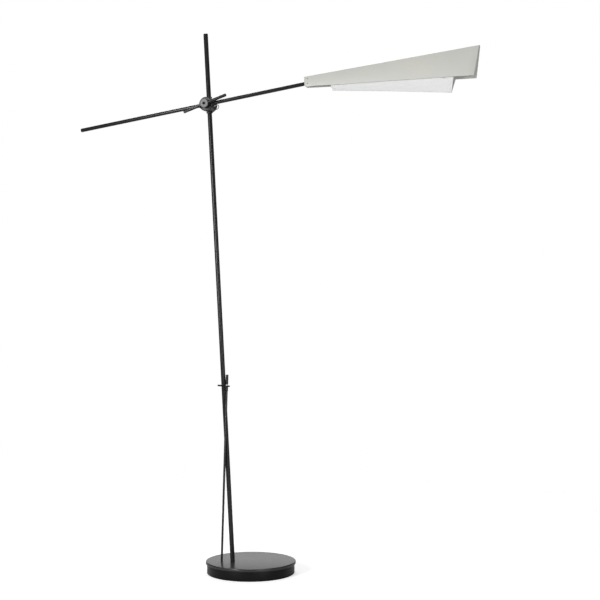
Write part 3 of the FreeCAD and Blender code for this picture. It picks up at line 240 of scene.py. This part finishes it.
class Surface:
    """A material made of a Principled shader and a few procedural layers."""

    def __init__(self, name, color, roughness, metallic=0.0):
        self.material = bpy.data.materials.new(name)
        self.material.use_nodes = True
        self.tree = self.material.node_tree
        self.shader = self.tree.nodes["Principled BSDF"]
        self.color = color
        self.shader.inputs["Base Color"].default_value = (*color, 1)
        self.shader.inputs["Roughness"].default_value = roughness
        self.shader.inputs["Metallic"].default_value = metallic
        self.coords = self.tree.nodes.new("ShaderNodeTexCoord").outputs["Object"]
        self.normal = None

    def node(self, kind, **settings):
        made = self.tree.nodes.new("ShaderNode" + kind)
        for name, setting in settings.items():
            setattr(made, name, setting)
        return made

    def link(self, source, target):
        self.tree.links.new(source, target)

    def stretched(self, scale):
        """Coordinates squeezed by a different amount each way, for grain and brushing."""
        mapping = self.node("Mapping")
        mapping.inputs["Scale"].default_value = scale
        self.link(self.coords, mapping.inputs["Vector"])
        return mapping.outputs["Vector"]

    def noise(self, size, detail=3.0, coords=None):
        """Noise whose features are about that many millimetres across."""
        texture = self.node("TexNoise")
        texture.inputs["Scale"].default_value = 1 / (size * MM)
        texture.inputs["Detail"].default_value = detail
        self.link(coords or self.coords, texture.inputs["Vector"])
        return texture.outputs["Fac"]

    def ranged(self, source, low, high, start=0.3, stop=0.7):
        """A value that runs from low to high as the source goes through its middle range."""
        span = self.node("MapRange")
        span.inputs["From Min"].default_value = start
        span.inputs["From Max"].default_value = stop
        span.inputs["To Min"].default_value = low
        span.inputs["To Max"].default_value = high
        self.link(source, span.inputs["Value"])
        return span.outputs["Result"]

    def tint(self, source, other, amount=1.0, start=0.3, stop=0.7):
        """Mixes the base colour so far towards another colour, where the source is high."""
        mix = self.node("Mix", data_type="RGBA")
        current = self.shader.inputs["Base Color"]
        if current.is_linked:
            self.link(current.links[0].from_socket, mix.inputs["A"])
        else:
            mix.inputs["A"].default_value = (*self.color, 1)
        mix.inputs["B"].default_value = (*other, 1)
        self.link(self.ranged(source, 0.0, amount, start, stop), mix.inputs["Factor"])
        self.link(mix.outputs["Result"], current)

    def rough(self, source, low, high, start=0.3, stop=0.7):
        self.link(self.ranged(source, low, high, start, stop), self.shader.inputs["Roughness"])

    def bump(self, source, depth, strength=1.0):
        """Relief of that many millimetres, added to what is there."""
        relief = self.node("Bump")
        relief.inputs["Strength"].default_value = strength
        relief.inputs["Distance"].default_value = depth * MM
        self.link(source, relief.inputs["Height"])
        if self.normal:
            self.link(self.normal, relief.inputs["Normal"])
        self.normal = relief.outputs["Normal"]
        self.link(self.normal, self.shader.inputs["Normal"])

    def edges(self, other, amount, start=0.53, stop=0.62):
        """A slightly lighter colour along sharp outside edges."""
        geometry = self.node("NewGeometry")
        self.tint(geometry.outputs["Pointiness"], other, amount, start, stop)


def satin_black(name, base=0.016, gloss=(0.27, 0.36), peel=0.005, shine=0.5):
    """Satin black powder coat: fine orange peel, faint cloudiness and slightly lighter outside edges."""
    look = Surface(name, (base, base, base * 1.04), gloss[0])
    look.tint(look.noise(38, 4), (base * 1.5, base * 1.5, base * 1.5), 0.6)
    look.rough(look.noise(14, 5), *gloss)
    look.bump(look.noise(0.9, 2), peel, 0.4)
    look.bump(look.noise(0.22, 1), peel * 0.4, 0.25)
    look.edges((0.05, 0.05, 0.052), 0.35)
    look.shader.inputs["Specular IOR Level"].default_value = shine
    return look.material


def cast_black(name):
    """Black coat over a cast part: a coarser skin than on the tubes."""
    look = Surface(name, (0.014, 0.014, 0.015), 0.36)
    look.shader.inputs["Specular IOR Level"].default_value = 0.27
    look.tint(look.noise(9, 4), (0.026, 0.026, 0.027), 0.7)
    look.rough(look.noise(5, 4), 0.34, 0.46)
    look.bump(look.noise(1.3, 3), 0.008, 0.4)
    look.bump(look.noise(0.3, 1), 0.002, 0.3)
    look.edges((0.06, 0.06, 0.062), 0.3)
    return look.material


def satin_face(name):
    """Turned and satin-plated metal with a slight cloudiness."""
    look = Surface(name, (0.135, 0.135, 0.137), 0.42)
    look.tint(look.noise(1.6, 3), (0.115, 0.115, 0.117), 0.7)
    look.rough(look.noise(0.8, 3), 0.38, 0.50)
    look.bump(look.noise(0.35, 2), 0.002, 0.3)
    return look.material


def greige_coat(name):
    """Warm grey powder coat on folded sheet: a fine sand, and broad faint clouds."""
    look = Surface(name, (0.545, 0.545, 0.51), 0.46)
    look.tint(look.noise(120, 3), (0.60, 0.595, 0.545), 0.65)
    look.tint(look.noise(3.2, 4), (0.50, 0.50, 0.47), 0.18)
    look.rough(look.noise(26, 4), 0.40, 0.52)
    look.bump(look.noise(0.8, 3), 0.010, 0.5)
    look.bump(look.noise(0.2, 1), 0.004, 0.4)
    look.edges((0.60, 0.60, 0.56), 0.45)
    return look.material


def opal_acrylic(name):
    """Milky acrylic: light spreads a little inside it, and its skin is satin."""
    look = Surface(name, (0.85, 0.86, 0.85), 0.34)
    look.shader.inputs["Subsurface Weight"].default_value = 0.35
    look.shader.inputs["Subsurface Radius"].default_value = (0.006, 0.006, 0.0055)
    look.shader.inputs["Subsurface Scale"].default_value = 1.0
    look.shader.inputs["IOR"].default_value = 1.49
    look.tint(look.noise(60, 3), (0.885, 0.89, 0.875), 0.6)
    look.rough(look.noise(18, 4), 0.28, 0.40)
    look.bump(look.noise(1.6, 2), 0.006, 0.4)
    return look.material


def brushed(name, color, grain=(1, 1, 14), roughness=(0.24, 0.38)):
    """Bare metal with a drawn or turned grain."""
    look = Surface(name, color, roughness[0], 1.0)
    grained = look.stretched(grain)
    dark = tuple(part * 0.78 for part in color)
    look.tint(look.noise(1.5, 4, grained), dark, 0.5)
    look.rough(look.noise(0.9, 4, grained), *roughness)
    look.bump(look.noise(0.4, 3, grained), 0.006, 0.5)
    return look.material


def moulded(name, color, roughness=(0.45, 0.6), grit=0.5):
    """Moulded plastic or rubber with a spark-eroded grain."""
    look = Surface(name, color, roughness[0])
    look.tint(look.noise(11, 3), tuple(min(1.0, part * 1.35 + 0.004) for part in color), 0.5)
    look.rough(look.noise(2.5, 4), *roughness)
    look.bump(look.noise(grit, 3), 0.02, 0.6)
    return look.material


def cast_iron(name):
    """Rough dark iron with a trace of rust."""
    look = Surface(name, (0.09, 0.085, 0.08), 0.62, 0.6)
    look.tint(look.noise(14, 5), (0.16, 0.13, 0.11), 0.55)
    look.rough(look.noise(3, 4), 0.5, 0.75)
    look.bump(look.noise(2.2, 4), 0.12, 0.8)
    return look.material


def felt(name):
    """Dark felt with a soft nap."""
    look = Surface(name, (0.035, 0.035, 0.036), 0.95)
    look.shader.inputs["Sheen Weight"].default_value = 0.4
    look.tint(look.noise(0.7, 4), (0.075, 0.075, 0.075), 0.6)
    look.bump(look.noise(0.5, 4), 0.2, 0.8)
    return look.material


def phosphor(name):
    """The yellow face of an unlit lamp chip."""
    look = Surface(name, (0.80, 0.60, 0.12), 0.38)
    look.tint(look.noise(0.5, 3), (0.86, 0.72, 0.25), 0.7)
    look.bump(look.noise(0.2, 2), 0.01, 0.5)
    return look.material


def lead_jacket(name):
    """Pale grey silicone jacket, with a slight gloss and a dusting of lint."""
    look = Surface(name, (0.30, 0.30, 0.305), 0.42)
    look.tint(look.noise(1.2, 4), (0.40, 0.40, 0.40), 0.5)
    look.rough(look.noise(0.9, 3), 0.34, 0.5)
    look.bump(look.noise(0.35, 2), 0.01, 0.5)
    return look.material


PAINTS = {
    "tube": satin_black("satin_black_tube", 0.014, (0.25, 0.31), 0.0006, 0.30),
    "lid": satin_black("satin_black_lid", 0.02, (0.25, 0.27), 0.0002),
    # The side band's black is darker than the lid's: painted shade on the base's upright side.
    "band": satin_black("satin_black_band_painted_shade", 0.004, (0.27, 0.33), 0.001, 0.18),
    "cast": cast_black("black_casting"),
    # Near black lining for the key socket: painted shade in its hollow.
    "socket_shade": satin_black("socket_painted_shade", 0.002, (0.6, 0.75), 0.005, 0.08),
    "face": satin_face("satin_turned_face"),
    "greige": greige_coat("greige_powder_coat"),
    "opal": opal_acrylic("opal_acrylic"),
    "steel": brushed("plated_steel", (0.58, 0.58, 0.60)),
    "brass": brushed("turned_brass", (0.74, 0.55, 0.27)),
    "aluminium": brushed("extruded_aluminium", (0.72, 0.72, 0.73), (12, 1, 1)),
    "nylon": moulded("black_nylon", (0.025, 0.025, 0.026)),
    "rubber": moulded("black_rubber", (0.03, 0.03, 0.03), (0.6, 0.8), 0.3),
    "board": moulded("white_solder_mask", (0.82, 0.83, 0.81), (0.3, 0.4), 1.0),
    "iron": cast_iron("cast_iron"),
    "felt": felt("dark_felt"),
    "phosphor": phosphor("phosphor"),
    "jacket": lead_jacket("grey_silicone"),
}

# Which paint each CAD node takes, for those that stay as CAD made them.
NODE_PAINTS = {
    "tube": ["pole_cap", "stem_ferrule", "link_plate", "arm_end_cap", "bush_collar", "arm_bush_collar"],
    "cast": ["pole_clamp", "swivel_ring", "arm_clamp"],
    "steel": ["lid_screws", "pole_socket", "stem_socket", "link_screw", "dimmer_core", "ring_screws",
              "pole_brake_screw", "clamp_screw", "shade_screws", "diffuser_clips"],
    "brass": ["dimmer_plunger", "pressure_pad"],
    "aluminium": ["arm_bracket", "lamp_rail"],
    "nylon": ["led_driver", "cable_gland", "gland_nut", "pole_bush", "friction_washer", "arm_bush"],
    "rubber": ["front_grommet", "rear_grommet"],
    "board": ["lamp_board"],
    "phosphor": ["lamp_chips"],
    "iron": ["base_weight"],
    "felt": ["floor_pad"],
    "greige": ["shade_end_plate"],
}


def paint_nodes():
    """Gives the CAD nodes that stay in sight or inside their paints."""
    for paint, nodes in NODE_PAINTS.items():
        for node in nodes:
            slots = NODES[node].data.materials
            slots.clear()
            slots.append(PAINTS[paint])


# ------------------------------------------------------------------ mesh making

TINY = 1e-6
MERGE_DISTANCE = 1e-5
MOST_OF_AN_EDGE = 0.48
BEVEL_ANGLE = math.radians(40)
BEVEL_SEGMENTS = 2
DRILL_SIDES = 48


def rounded(outline, radii, closed=True, steps=5):
    """A 2-D outline with its corners rounded; radii is one size or one for each corner."""
    points = [Vector(point) for point in outline]
    sizes = radii if isinstance(radii, (list, tuple)) else [radii] * len(points)
    result = []
    for index, (corner, size) in enumerate(zip(points, sizes)):
        at_end = not closed and index in (0, len(points) - 1)
        before = points[index - 1] - corner
        after = points[(index + 1) % len(points)] - corner
        if at_end or size <= 0 or before.length < TINY or after.length < TINY:
            result.append(corner)
            continue
        half = before.angle(after) / 2
        most = MOST_OF_AN_EDGE * min(before.length, after.length)
        setback = min(size / math.tan(half), most)
        radius = setback * math.tan(half)
        centre = corner + (before.normalized() + after.normalized()).normalized() * (
            radius / math.sin(half))
        first = corner + before.normalized() * setback - centre
        last = corner + after.normalized() * setback - centre
        sweep = first.angle_signed(last)
        for step in range(steps + 1):
            turn = Matrix.Rotation(-sweep * step / steps, 2)
            result.append(centre + turn @ first)
    return result


def finished(name, made, place, paint, bevel=0.0):
    """Turns a bmesh, in local millimetres, into a shaded object with clean normals."""
    bmesh.ops.remove_doubles(made, verts=made.verts, dist=MERGE_DISTANCE)
    bmesh.ops.recalc_face_normals(made, faces=made.faces)
    made.transform(place)
    mesh = bpy.data.meshes.new(name)
    made.to_mesh(mesh)
    made.free()
    piece = bpy.data.objects.new(name, mesh)
    bpy.context.collection.objects.link(piece)
    if bevel:
        add_bevel(piece, bevel)
    piece.data.materials.append(PAINTS[paint])
    smooth(piece.data)
    return piece


def smooth(mesh):
    """Smooth shading that stays sharp along hard edges."""
    mesh.shade_smooth()
    mesh.set_sharp_from_angle(angle=SHARP_ANGLE)


def apply_modifiers(piece):
    """Replaces the piece's mesh by what its modifiers make of it."""
    depsgraph = bpy.context.evaluated_depsgraph_get()
    evaluated = bpy.data.meshes.new_from_object(piece.evaluated_get(depsgraph))
    piece.modifiers.clear()
    piece.data = evaluated


def add_bevel(piece, width):
    """Rounds the piece's hard edges by that many millimetres."""
    bevel = piece.modifiers.new("edge", "BEVEL")
    bevel.width = width * MM
    bevel.segments = BEVEL_SEGMENTS
    bevel.limit_method = "ANGLE"
    bevel.angle_limit = BEVEL_ANGLE
    apply_modifiers(piece)


def ring_of(made, radius, height, sides, wobble):
    """A ring of vertices round local Z, or one vertex where the radius is nothing."""
    if radius < TINY:
        return [made.verts.new((0, 0, height))]
    ring = []
    for step in range(sides):
        angle = 2 * math.pi * step / sides
        size = radius + wobble(step)
        ring.append(made.verts.new((size * math.cos(angle), size * math.sin(angle), height)))
    return ring


def bridge(made, low, high):
    """Faces between two rings, either of which may be one point."""
    count = max(len(low), len(high))
    for step in range(count):
        after = (step + 1) % count
        corners = [low[step % len(low)], low[after % len(low)],
                   high[after % len(high)], high[step % len(high)]]
        unique = list(dict.fromkeys(corners))
        if len(unique) > 2:
            made.faces.new(unique)


def lathe(name, place, profile, paint, sides, flutes=None):
    """A solid turned about local Z from (radius, z) points.

    flutes = (lowest z, highest z, depth, smallest radius) of the points that are fluted.
    """
    made = bmesh.new()
    rings = []
    for radius, height in profile:
        fluted = flutes and flutes[0] <= height <= flutes[1] and radius > flutes[3]
        depth = flutes[2] if fluted else 0.0
        rings.append(ring_of(made, radius, height, sides, lambda step, d=depth: -d * (step % 2)))
    meets_axis = profile[0][0] < TINY and profile[-1][0] < TINY
    pairs = list(zip(rings, rings[1:]))
    if not meets_axis:
        pairs.append((rings[-1], rings[0]))
    for low, high in pairs:
        bridge(made, low, high)
    return finished(name, made, place, paint)


def stations(low, high, count):
    """Evenly spaced distances from low to high, both included."""
    return [low + (high - low) * step / count for step in range(count + 1)]


def loft(name, place, sections, paint, bevel=0.0):
    """A closed solid through rings of 3-D points, flat at both ends."""
    made = bmesh.new()
    rings = [[made.verts.new(point) for point in section] for section in sections]
    for low, high in zip(rings, rings[1:]):
        bridge(made, low, high)
    for ring in (rings[0], rings[-1]):
        made.faces.new(ring)
    return finished(name, made, place, paint, bevel)


def cut(piece, tools):
    """Takes the tools' room out of a piece, and removes the tools."""
    material = piece.data.materials[0]
    for tool in tools:
        boolean = piece.modifiers.new("cut", "BOOLEAN")
        boolean.operation = "DIFFERENCE"
        boolean.solver = "EXACT"
        boolean.object = tool
    apply_modifiers(piece)
    for tool in tools:
        bpy.data.objects.remove(tool)
    piece.data.materials.clear()
    piece.data.materials.append(material)
    for polygon in piece.data.polygons:
        polygon.material_index = 0
    smooth(piece.data)


def drill(place, radius, low, high, sides=DRILL_SIDES):
    """A plain cylinder or prism used only as a cutting tool."""
    return lathe("drill", place, [(0, low), (radius, low), (radius, high), (0, high)], "steel", sides)


def stands_for(piece, body, slot, *nodes):
    """The piece rides on a body and shows instead of CAD nodes; the slot argument is not used."""
    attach(piece, body)
    if nodes:
        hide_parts(*nodes)
    return piece


# ------------------------------------------------------------------ base, pole and stem

# From here on, sizes are in millimetres unless a comment says otherwise.
LID_SIDES = 192
TUBE_SIDES = 64
STEM_SIDES = 48
POLE_RADIUS = 7.5
POLE_BORE = 6.0
POLE_LENGTH = 1756.0
POLE_DEPTH = 24.0
STEM_RADIUS = 3.6
STEM_BORE = 2.4
STEM_DEPTH = 22.0
PLATE_THICK = 4.5
ARM_RADIUS = 6.25
ARM_BORE = 5.0
ARM_LEFT = 458.0
ARM_RIGHT = 372.0
CAP_THICK = 3.0
TUBE_EDGE = 0.25
STEM_EDGE = 0.2
LID_RADIUS = 150.0
LID_PLATE = 3.0
LID_RIM = 9.0
LID_TOP = BASE_HEIGHT / MM
LID_UNDER = LID_TOP - LID_PLATE
LID_LOW = LID_TOP - LID_RIM
LID_INNER = 146.1
LID_CUT = 30.0
TUBE_GAP = 0.1
RING_RADIUS = 145.8
RING_INNER = 144.0
RING_LOW = 1.5
# A point on the gland's axis inside the side ring, in metres.
GLAND_START = (0, 0.12, 0.016)
GLAND_RADIUS = 5.0
GLAND_CUT = 60.0


def build_base():
    """The lid, with its holes for the pole and the stem, and the side ring under it."""
    profile = rounded(
        [(0, LID_UNDER), (LID_INNER, LID_UNDER), (LID_INNER, LID_LOW), (LID_RADIUS, LID_LOW),
         (LID_RADIUS, LID_TOP), (0, LID_TOP)],
        [0, 0.6, 0.5, 1.1, 3.0, 0], closed=False, steps=8,
    )
    lid = lathe("lid_spun", STAND, profile, "lid", LID_SIDES)
    holes = ((POLE, POLE_RADIUS), (STEM, STEM_RADIUS))
    cut(lid, [drill(place, radius + TUBE_GAP, -LID_CUT, LID_CUT) for place, radius in holes])
    stands_for(lid, "stand", "black_metal", "base_lid")
    # The side band takes the darker black: painted shade on the base's side.
    band = lathe(
        "side_band", STAND,
        rounded([(RING_INNER, RING_LOW), (RING_RADIUS, RING_LOW), (RING_RADIUS, LID_UNDER),
                 (RING_INNER, LID_UNDER)], 0.5),
        "band", LID_SIDES,
    )
    gland = axes_at(GLAND_START, SIDE, (0, 1, 0))
    cut(band, [drill(gland, GLAND_RADIUS, 0, GLAND_CUT)])
    stands_for(band, "stand", "black_metal", "base_ring")


def tube_profile(bore, radius, low, high, edge):
    """Section of a plain tube whose end edges are broken."""
    return rounded([(bore, low), (radius, low), (radius, high), (bore, high)], edge, steps=2)


def build_tubes():
    """The pole, the control stem and the arm."""
    profile = tube_profile(POLE_BORE, POLE_RADIUS, -POLE_DEPTH, POLE_LENGTH, TUBE_EDGE)
    pole = lathe("pole_drawn", POLE, profile, "tube", TUBE_SIDES)
    stands_for(pole, "stand", "black_metal", "pole")
    top = (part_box("stem_ferrule")[1].z - BASE_HEIGHT) / MM + PLATE_THICK
    profile = tube_profile(STEM_BORE, STEM_RADIUS, -STEM_DEPTH, top, STEM_EDGE)
    stem = lathe("stem_drawn", STEM, profile, "tube", STEM_SIDES)
    stands_for(stem, "stand", "black_metal", "control_stem")
    profile = tube_profile(ARM_BORE, ARM_RADIUS, CAP_THICK - ARM_LEFT, ARM_RIGHT, TUBE_EDGE)
    arm = lathe("arm_drawn", ARM, profile, "tube", TUBE_SIDES)
    stands_for(arm, "arm", "black_metal", "arm_tube")


KNOB_LOW = 5.25
KNOB_HIGH = 38.25
KNOB_RADIUS = 4.5
KNOB_BORE = 3.08
KNOB_ROOF = 4.9
# The dish in the knob's top: radius of its rim, radius of its floor, and its depth.
KNOB_DISH = (3.2, 2.6, 0.35)
# Lengths that stay plain at the knob's two ends, for its rounded edges and then up to the flutes.
EDGE_LOW = 1.5
EDGE_HIGH = 2.0
PLAIN_LOW = 6.0
PLAIN_HIGH = 7.0
FLUTE_DEPTH = 0.16
FLUTE_SLACK = 0.1
KNOB_SIDES = 72


def build_dimmer_knob():
    """A slim knob with fine flutes for the fingers and a dished top."""
    low = KNOB_LOW
    high = KNOB_HIGH
    rim, floor, depth = KNOB_DISH
    profile = rounded(
        [(KNOB_BORE, low), (KNOB_RADIUS, low), (KNOB_RADIUS, low + EDGE_LOW),
         (KNOB_RADIUS, low + PLAIN_LOW), (KNOB_RADIUS, high - PLAIN_HIGH),
         (KNOB_RADIUS, high - EDGE_HIGH), (KNOB_RADIUS, high), (rim, high),
         (floor, high - depth), (0, high - depth), (0, high - KNOB_ROOF), (KNOB_BORE, high - KNOB_ROOF)],
        [0.2, 0.5, 0, 0, 0, 0, 0.7, 0.2, 0.2, 0, 0, 0.1], steps=3,
    )
    first = low + PLAIN_LOW - FLUTE_SLACK
    last = high - PLAIN_HIGH + FLUTE_SLACK
    flutes = (first, last, FLUTE_DEPTH, KNOB_RADIUS - FLUTE_SLACK)
    knob = lathe("dimmer_knob_fluted", PLATE, profile, "tube", KNOB_SIDES, flutes)
    stands_for(knob, "dimmer_knob", "black_metal", "dimmer_knob")


# ------------------------------------------------------------------ hub

HEAD_BACK = 51.0
HEAD_FRONT = 56.0
NECK_BACK = 38.6
KEY_RADIUS = 5.2
KEY_DEPTH = 3.6
KEY_SIDES = 6
CUT_PAST = 1.0
BAR_OFFSET = 45.8
BAR_RADIUS = 5.0
BAR_HALF = 78.0
SCREW_RADIUS = 4.0
SCREW_END = 40.6
NECK_RADIUS = 9.0
HEAD_RADIUS = 14.0
HEAD_SIDES = 96
BAR_SIDES = 56
BAR_ROUND = 1.4
# The shallow dish in the head: its depth, and the radii of its outer and inner sloping walls.
DISH_DEPTH = 0.35
DISH_OUTER = (11.6, 11.3)
DISH_INNER = (6.4, 6.1)
# The black cup that lines the socket, painted shade for its hollow: how far it reaches past the socket's
# walls, outwards and inwards, past its floor, downwards and upwards, and how far its rim lies under the
# head's face.
CUP_OUT = 0.15
CUP_IN = 0.25
CUP_UNDER = 0.1
CUP_FLOOR = 0.3
CUP_SINK = 0.45


def build_clamp_knob():
    """The T-bar, the neck that holds it and the bright head with its key socket."""
    dish = HEAD_FRONT - DISH_DEPTH
    profile = rounded(
        [(0, SCREW_END), (SCREW_RADIUS, SCREW_END), (SCREW_RADIUS, NECK_BACK), (NECK_RADIUS, NECK_BACK),
         (NECK_RADIUS, HEAD_BACK), (HEAD_RADIUS, HEAD_BACK), (HEAD_RADIUS, HEAD_FRONT),
         (DISH_OUTER[0], HEAD_FRONT), (DISH_OUTER[1], dish), (DISH_INNER[0], dish),
         (DISH_INNER[1], HEAD_FRONT), (0, HEAD_FRONT)],
        [0, 0, 0.2, 0.6, 0.8, 0.5, 0.8, 0.15, 0.1, 0.1, 0.15, 0], closed=False, steps=4,
    )
    knob = lathe("clamp_knob_turned", BAR, profile, "face", HEAD_SIDES)
    cut(knob, [drill(BAR, KEY_RADIUS, HEAD_FRONT - KEY_DEPTH, HEAD_FRONT + CUT_PAST, KEY_SIDES)])
    stands_for(knob, "clamp_knob", "black_metal", "clamp_knob")
    cup_outer = KEY_RADIUS + CUP_OUT
    cup_inner = KEY_RADIUS - CUP_IN
    cup_low = HEAD_FRONT - KEY_DEPTH - CUP_UNDER
    cup_floor = HEAD_FRONT - KEY_DEPTH + CUP_FLOOR
    cup_rim = HEAD_FRONT - CUP_SINK
    # The black cup in the socket is painted shade for its hollow.
    key = lathe(
        "key_socket", BAR,
        [(0, cup_low), (cup_outer, cup_low), (cup_outer, cup_rim), (cup_inner, cup_rim),
         (cup_inner, cup_floor), (0, cup_floor)],
        "socket_shade", KEY_SIDES,
    )
    stands_for(key, "clamp_knob", "black_metal")
    across = BAR @ Matrix.Translation((0, 0, BAR_OFFSET)) @ Matrix.Rotation(math.pi / 2, 4, "Y")
    bar = lathe(
        "t_bar_turned", across,
        rounded([(0, -BAR_HALF), (BAR_RADIUS, -BAR_HALF), (BAR_RADIUS, BAR_HALF), (0, BAR_HALF)],
                [0, BAR_ROUND, BAR_ROUND, 0], closed=False, steps=5), "tube", BAR_SIDES,
    )
    stands_for(bar, "clamp_knob", "black_metal", "t_bar")


# The lead's length is in metres, and its other sizes are in millimetres.
LEAD_RADIUS = 1.25
GROMMET_NOSE = 3.0
LEAD_SIDES = 20
# How finely the lead's line is drawn, and how many of its route's points pull at each place.
LEAD_STEPS = 10
LEAD_ORDER = 3
# The lead's route in the clamp's frame, from the front drum's side round to the rear drum.
LEAD_ROUTE = [
    (20.6, -10.4, 26.0), (30.2, -6.8, 24.4), (36.2, -3.8, 18.4), (37.0, -6.2, 10.4),
    (33.4, -12.2, 3.4), (26.2, -16.4, -1.8), (17.4, -15.2, -4.6),
]


def lead_points():
    """Points along the lead's own smooth line, in metres."""
    spots = [Vector(point) for point in LEAD_ROUTE]
    spots[0] += (spots[1] - spots[0]).normalized() * GROMMET_NOSE
    spots[-1] += (spots[-2] - spots[-1]).normalized() * GROMMET_NOSE
    data = bpy.data.curves.new("lead_line", "CURVE")
    data.dimensions = "3D"
    data.resolution_u = LEAD_STEPS
    spline = data.splines.new("NURBS")
    spline.points.add(len(spots) - 1)
    for point, spot in zip(spline.points, spots):
        point.co = (*(CLAMP @ spot), 1)
    spline.order_u = LEAD_ORDER
    spline.use_endpoint_u = True
    line = bpy.data.objects.new("lead_line", data)
    bpy.context.collection.objects.link(line)
    mesh = bpy.data.meshes.new_from_object(line)
    points = [vertex.co.copy() for vertex in mesh.vertices]
    bpy.data.objects.remove(line)
    return points


def tube_along(name, points, radius, paint, sides):
    """A round tube whose sections turn as little as possible along the line."""
    made = bmesh.new()
    rings = []
    way = (points[1] - points[0]).normalized()
    side = way.orthogonal().normalized()
    for index, spot in enumerate(points):
        ahead = points[min(index + 1, len(points) - 1)] - points[max(index - 1, 0)]
        turned = ahead.normalized()
        side = (way.rotation_difference(turned) @ side).normalized()
        way = turned
        other = way.cross(side)
        ring = []
        for step in range(sides):
            angle = 2 * math.pi * step / sides
            ring.append(made.verts.new(spot + (side * math.cos(angle) + other * math.sin(angle)) * radius))
        rings.append(ring)
    for low, high in zip(rings, rings[1:]):
        bridge(made, low, high)
    made.faces.new(rings[0])
    made.faces.new(rings[-1])
    return finished(name, made, Matrix.Identity(4), paint)


def build_lead():
    """The jumper lead, which curves between the two drums."""
    points = lead_points()
    lead = tube_along("jumper_lead_soft", points, LEAD_RADIUS * MM, "jacket", LEAD_SIDES)
    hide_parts("jumper_lead")
    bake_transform(lead)


# ------------------------------------------------------------------ shade

SHADE_LENGTH = 573.8
SHADE_TOP = 10.0
SHADE_SKIN = 1.5
SHADE_SPLAY = 0.231
DROP_START = 32.7
DROP_SLOPE = 0.1129
SHADE_SLANT = 0.285
BEND_RADIUS = 2.2
LENS_START = 86.0
LENS_END = 482.5
LENS_FOLD = 60.9
LENS_SLOPE = 0.1878
LENS_SLANT = 0.36
LENS_SHEET = 2.0
LENS_LAP = 2.5
LENS_GAP = 1.2
LENS_BEND = 3.2
# Share of the sheet's thickness that its inner corners lie in from the outer ones.
CORNER_SHARE = 0.8
SHADE_STATIONS = 24
LENS_STATIONS = 20
SHADE_EDGE = 0.3
LENS_EDGE = 0.35


def drop_at(along):
    """Depth of the panels' lower edges under the ridge, that far along it."""
    return DROP_START + DROP_SLOPE * along


def offset_line(points, distance):
    """An open 2-D line moved sideways, keeping its number of points."""
    moved = []
    for index, point in enumerate(points):
        before = points[max(index - 1, 0)]
        after = points[min(index + 1, len(points) - 1)]
        way = (after - before).normalized()
        moved.append(point + Vector((way.y, -way.x)) * distance)
    return moved


def channel_section(along):
    """Closed (y, z) section of the folded shade, at that distance along the ridge."""
    drop = drop_at(along)
    foot = SHADE_TOP + SHADE_SPLAY * drop
    corners = [(-foot, -drop), (-SHADE_TOP, 0), (SHADE_TOP, 0), (foot, -drop)]
    outer = rounded(corners, BEND_RADIUS, closed=False, steps=6)
    inner = offset_line(outer, SHADE_SKIN)
    return outer + inner[::-1], drop


def slanted(along, point, drop, share, slant):
    """Puts a section's point in 3-D, so that the far end is cut back along its slant.

    A point keeps its fraction of the drop. Its distance along is its share of the shade's length
    less the slant's cut at its own depth. That depth grows along the ridge, so it is solved for.
    """
    fraction = -point.y / drop
    length = along / share if share else 0.0
    real = share * (length - slant * fraction * DROP_START) / (1 + share * slant * fraction * DROP_SLOPE)
    depth = fraction * drop_at(real)
    outward = math.copysign(SHADE_SPLAY * (depth + point.y), point.x)
    return Vector((real, point.x + outward, -depth))


def build_shade():
    """The folded shell, cut back on a slant at its wide end."""
    sections = []
    for along in stations(0, SHADE_LENGTH, SHADE_STATIONS):
        section, drop = channel_section(along)
        share = along / SHADE_LENGTH
        sections.append([slanted(along, point, drop, share, SHADE_SLANT) for point in section])
    shell = loft("shade_folded", SHADE, sections, "greige", SHADE_EDGE)
    stands_for(shell, "arm", "shade_coat", "shade_shell")


def lens_half(along):
    """Half the diffuser's width at its upper edges, a gap inside the shade's panels."""
    inside = SHADE_TOP - SHADE_SKIN * CORNER_SHARE + SHADE_SPLAY * (drop_at(along) - SHADE_SKIN)
    return inside - LENS_GAP


def lens_section(along):
    """Closed (y, z) section of the folded diffuser, open above."""
    top = -(drop_at(along) - LENS_LAP)
    fold = -(LENS_FOLD + LENS_SLOPE * (along - LENS_START))
    half = lens_half(along)
    outer = rounded([(-half, top), (0, fold), (half, top)], LENS_BEND, closed=False, steps=8)
    inner = offset_line(outer, -LENS_SHEET)
    for point in (inner[0], inner[-1]):
        point.y = top
    return outer + inner[::-1]


def lens_cut(along, point, share):
    """A section's point in 3-D, with the far end cut back on its slant below the panels."""
    below = max(0.0, -drop_at(LENS_END) - point.y)
    return Vector((along - share * LENS_SLANT * below, point.x, point.y))


def build_diffuser():
    """The folded diffuser; its two end pieces stay as CAD made them."""
    sections = []
    for along in stations(LENS_START, LENS_END, LENS_STATIONS):
        share = (along - LENS_START) / (LENS_END - LENS_START)
        sections.append([lens_cut(along, point, share) for point in lens_section(along)])
    lens = loft("diffuser_folded", SHADE, sections, "opal", LENS_EDGE)
    stands_for(lens, "arm", "opal_acrylic", "diffuser")
    for node in ("diffuser_end_narrow", "diffuser_end_wide"):
        NODES[node].data.materials.clear()
        NODES[node].data.materials.append(PAINTS["opal"])


# ------------------------------------------------------------------ the whole lamp

add_camera()
build_lead()
add_world()
add_lights()
add_floor()
bpy.context.scene.view_settings.view_transform = "Standard"
paint_nodes()
build_base()
build_tubes()
build_dimmer_knob()
build_clamp_knob()
build_shade()
build_diffuser()
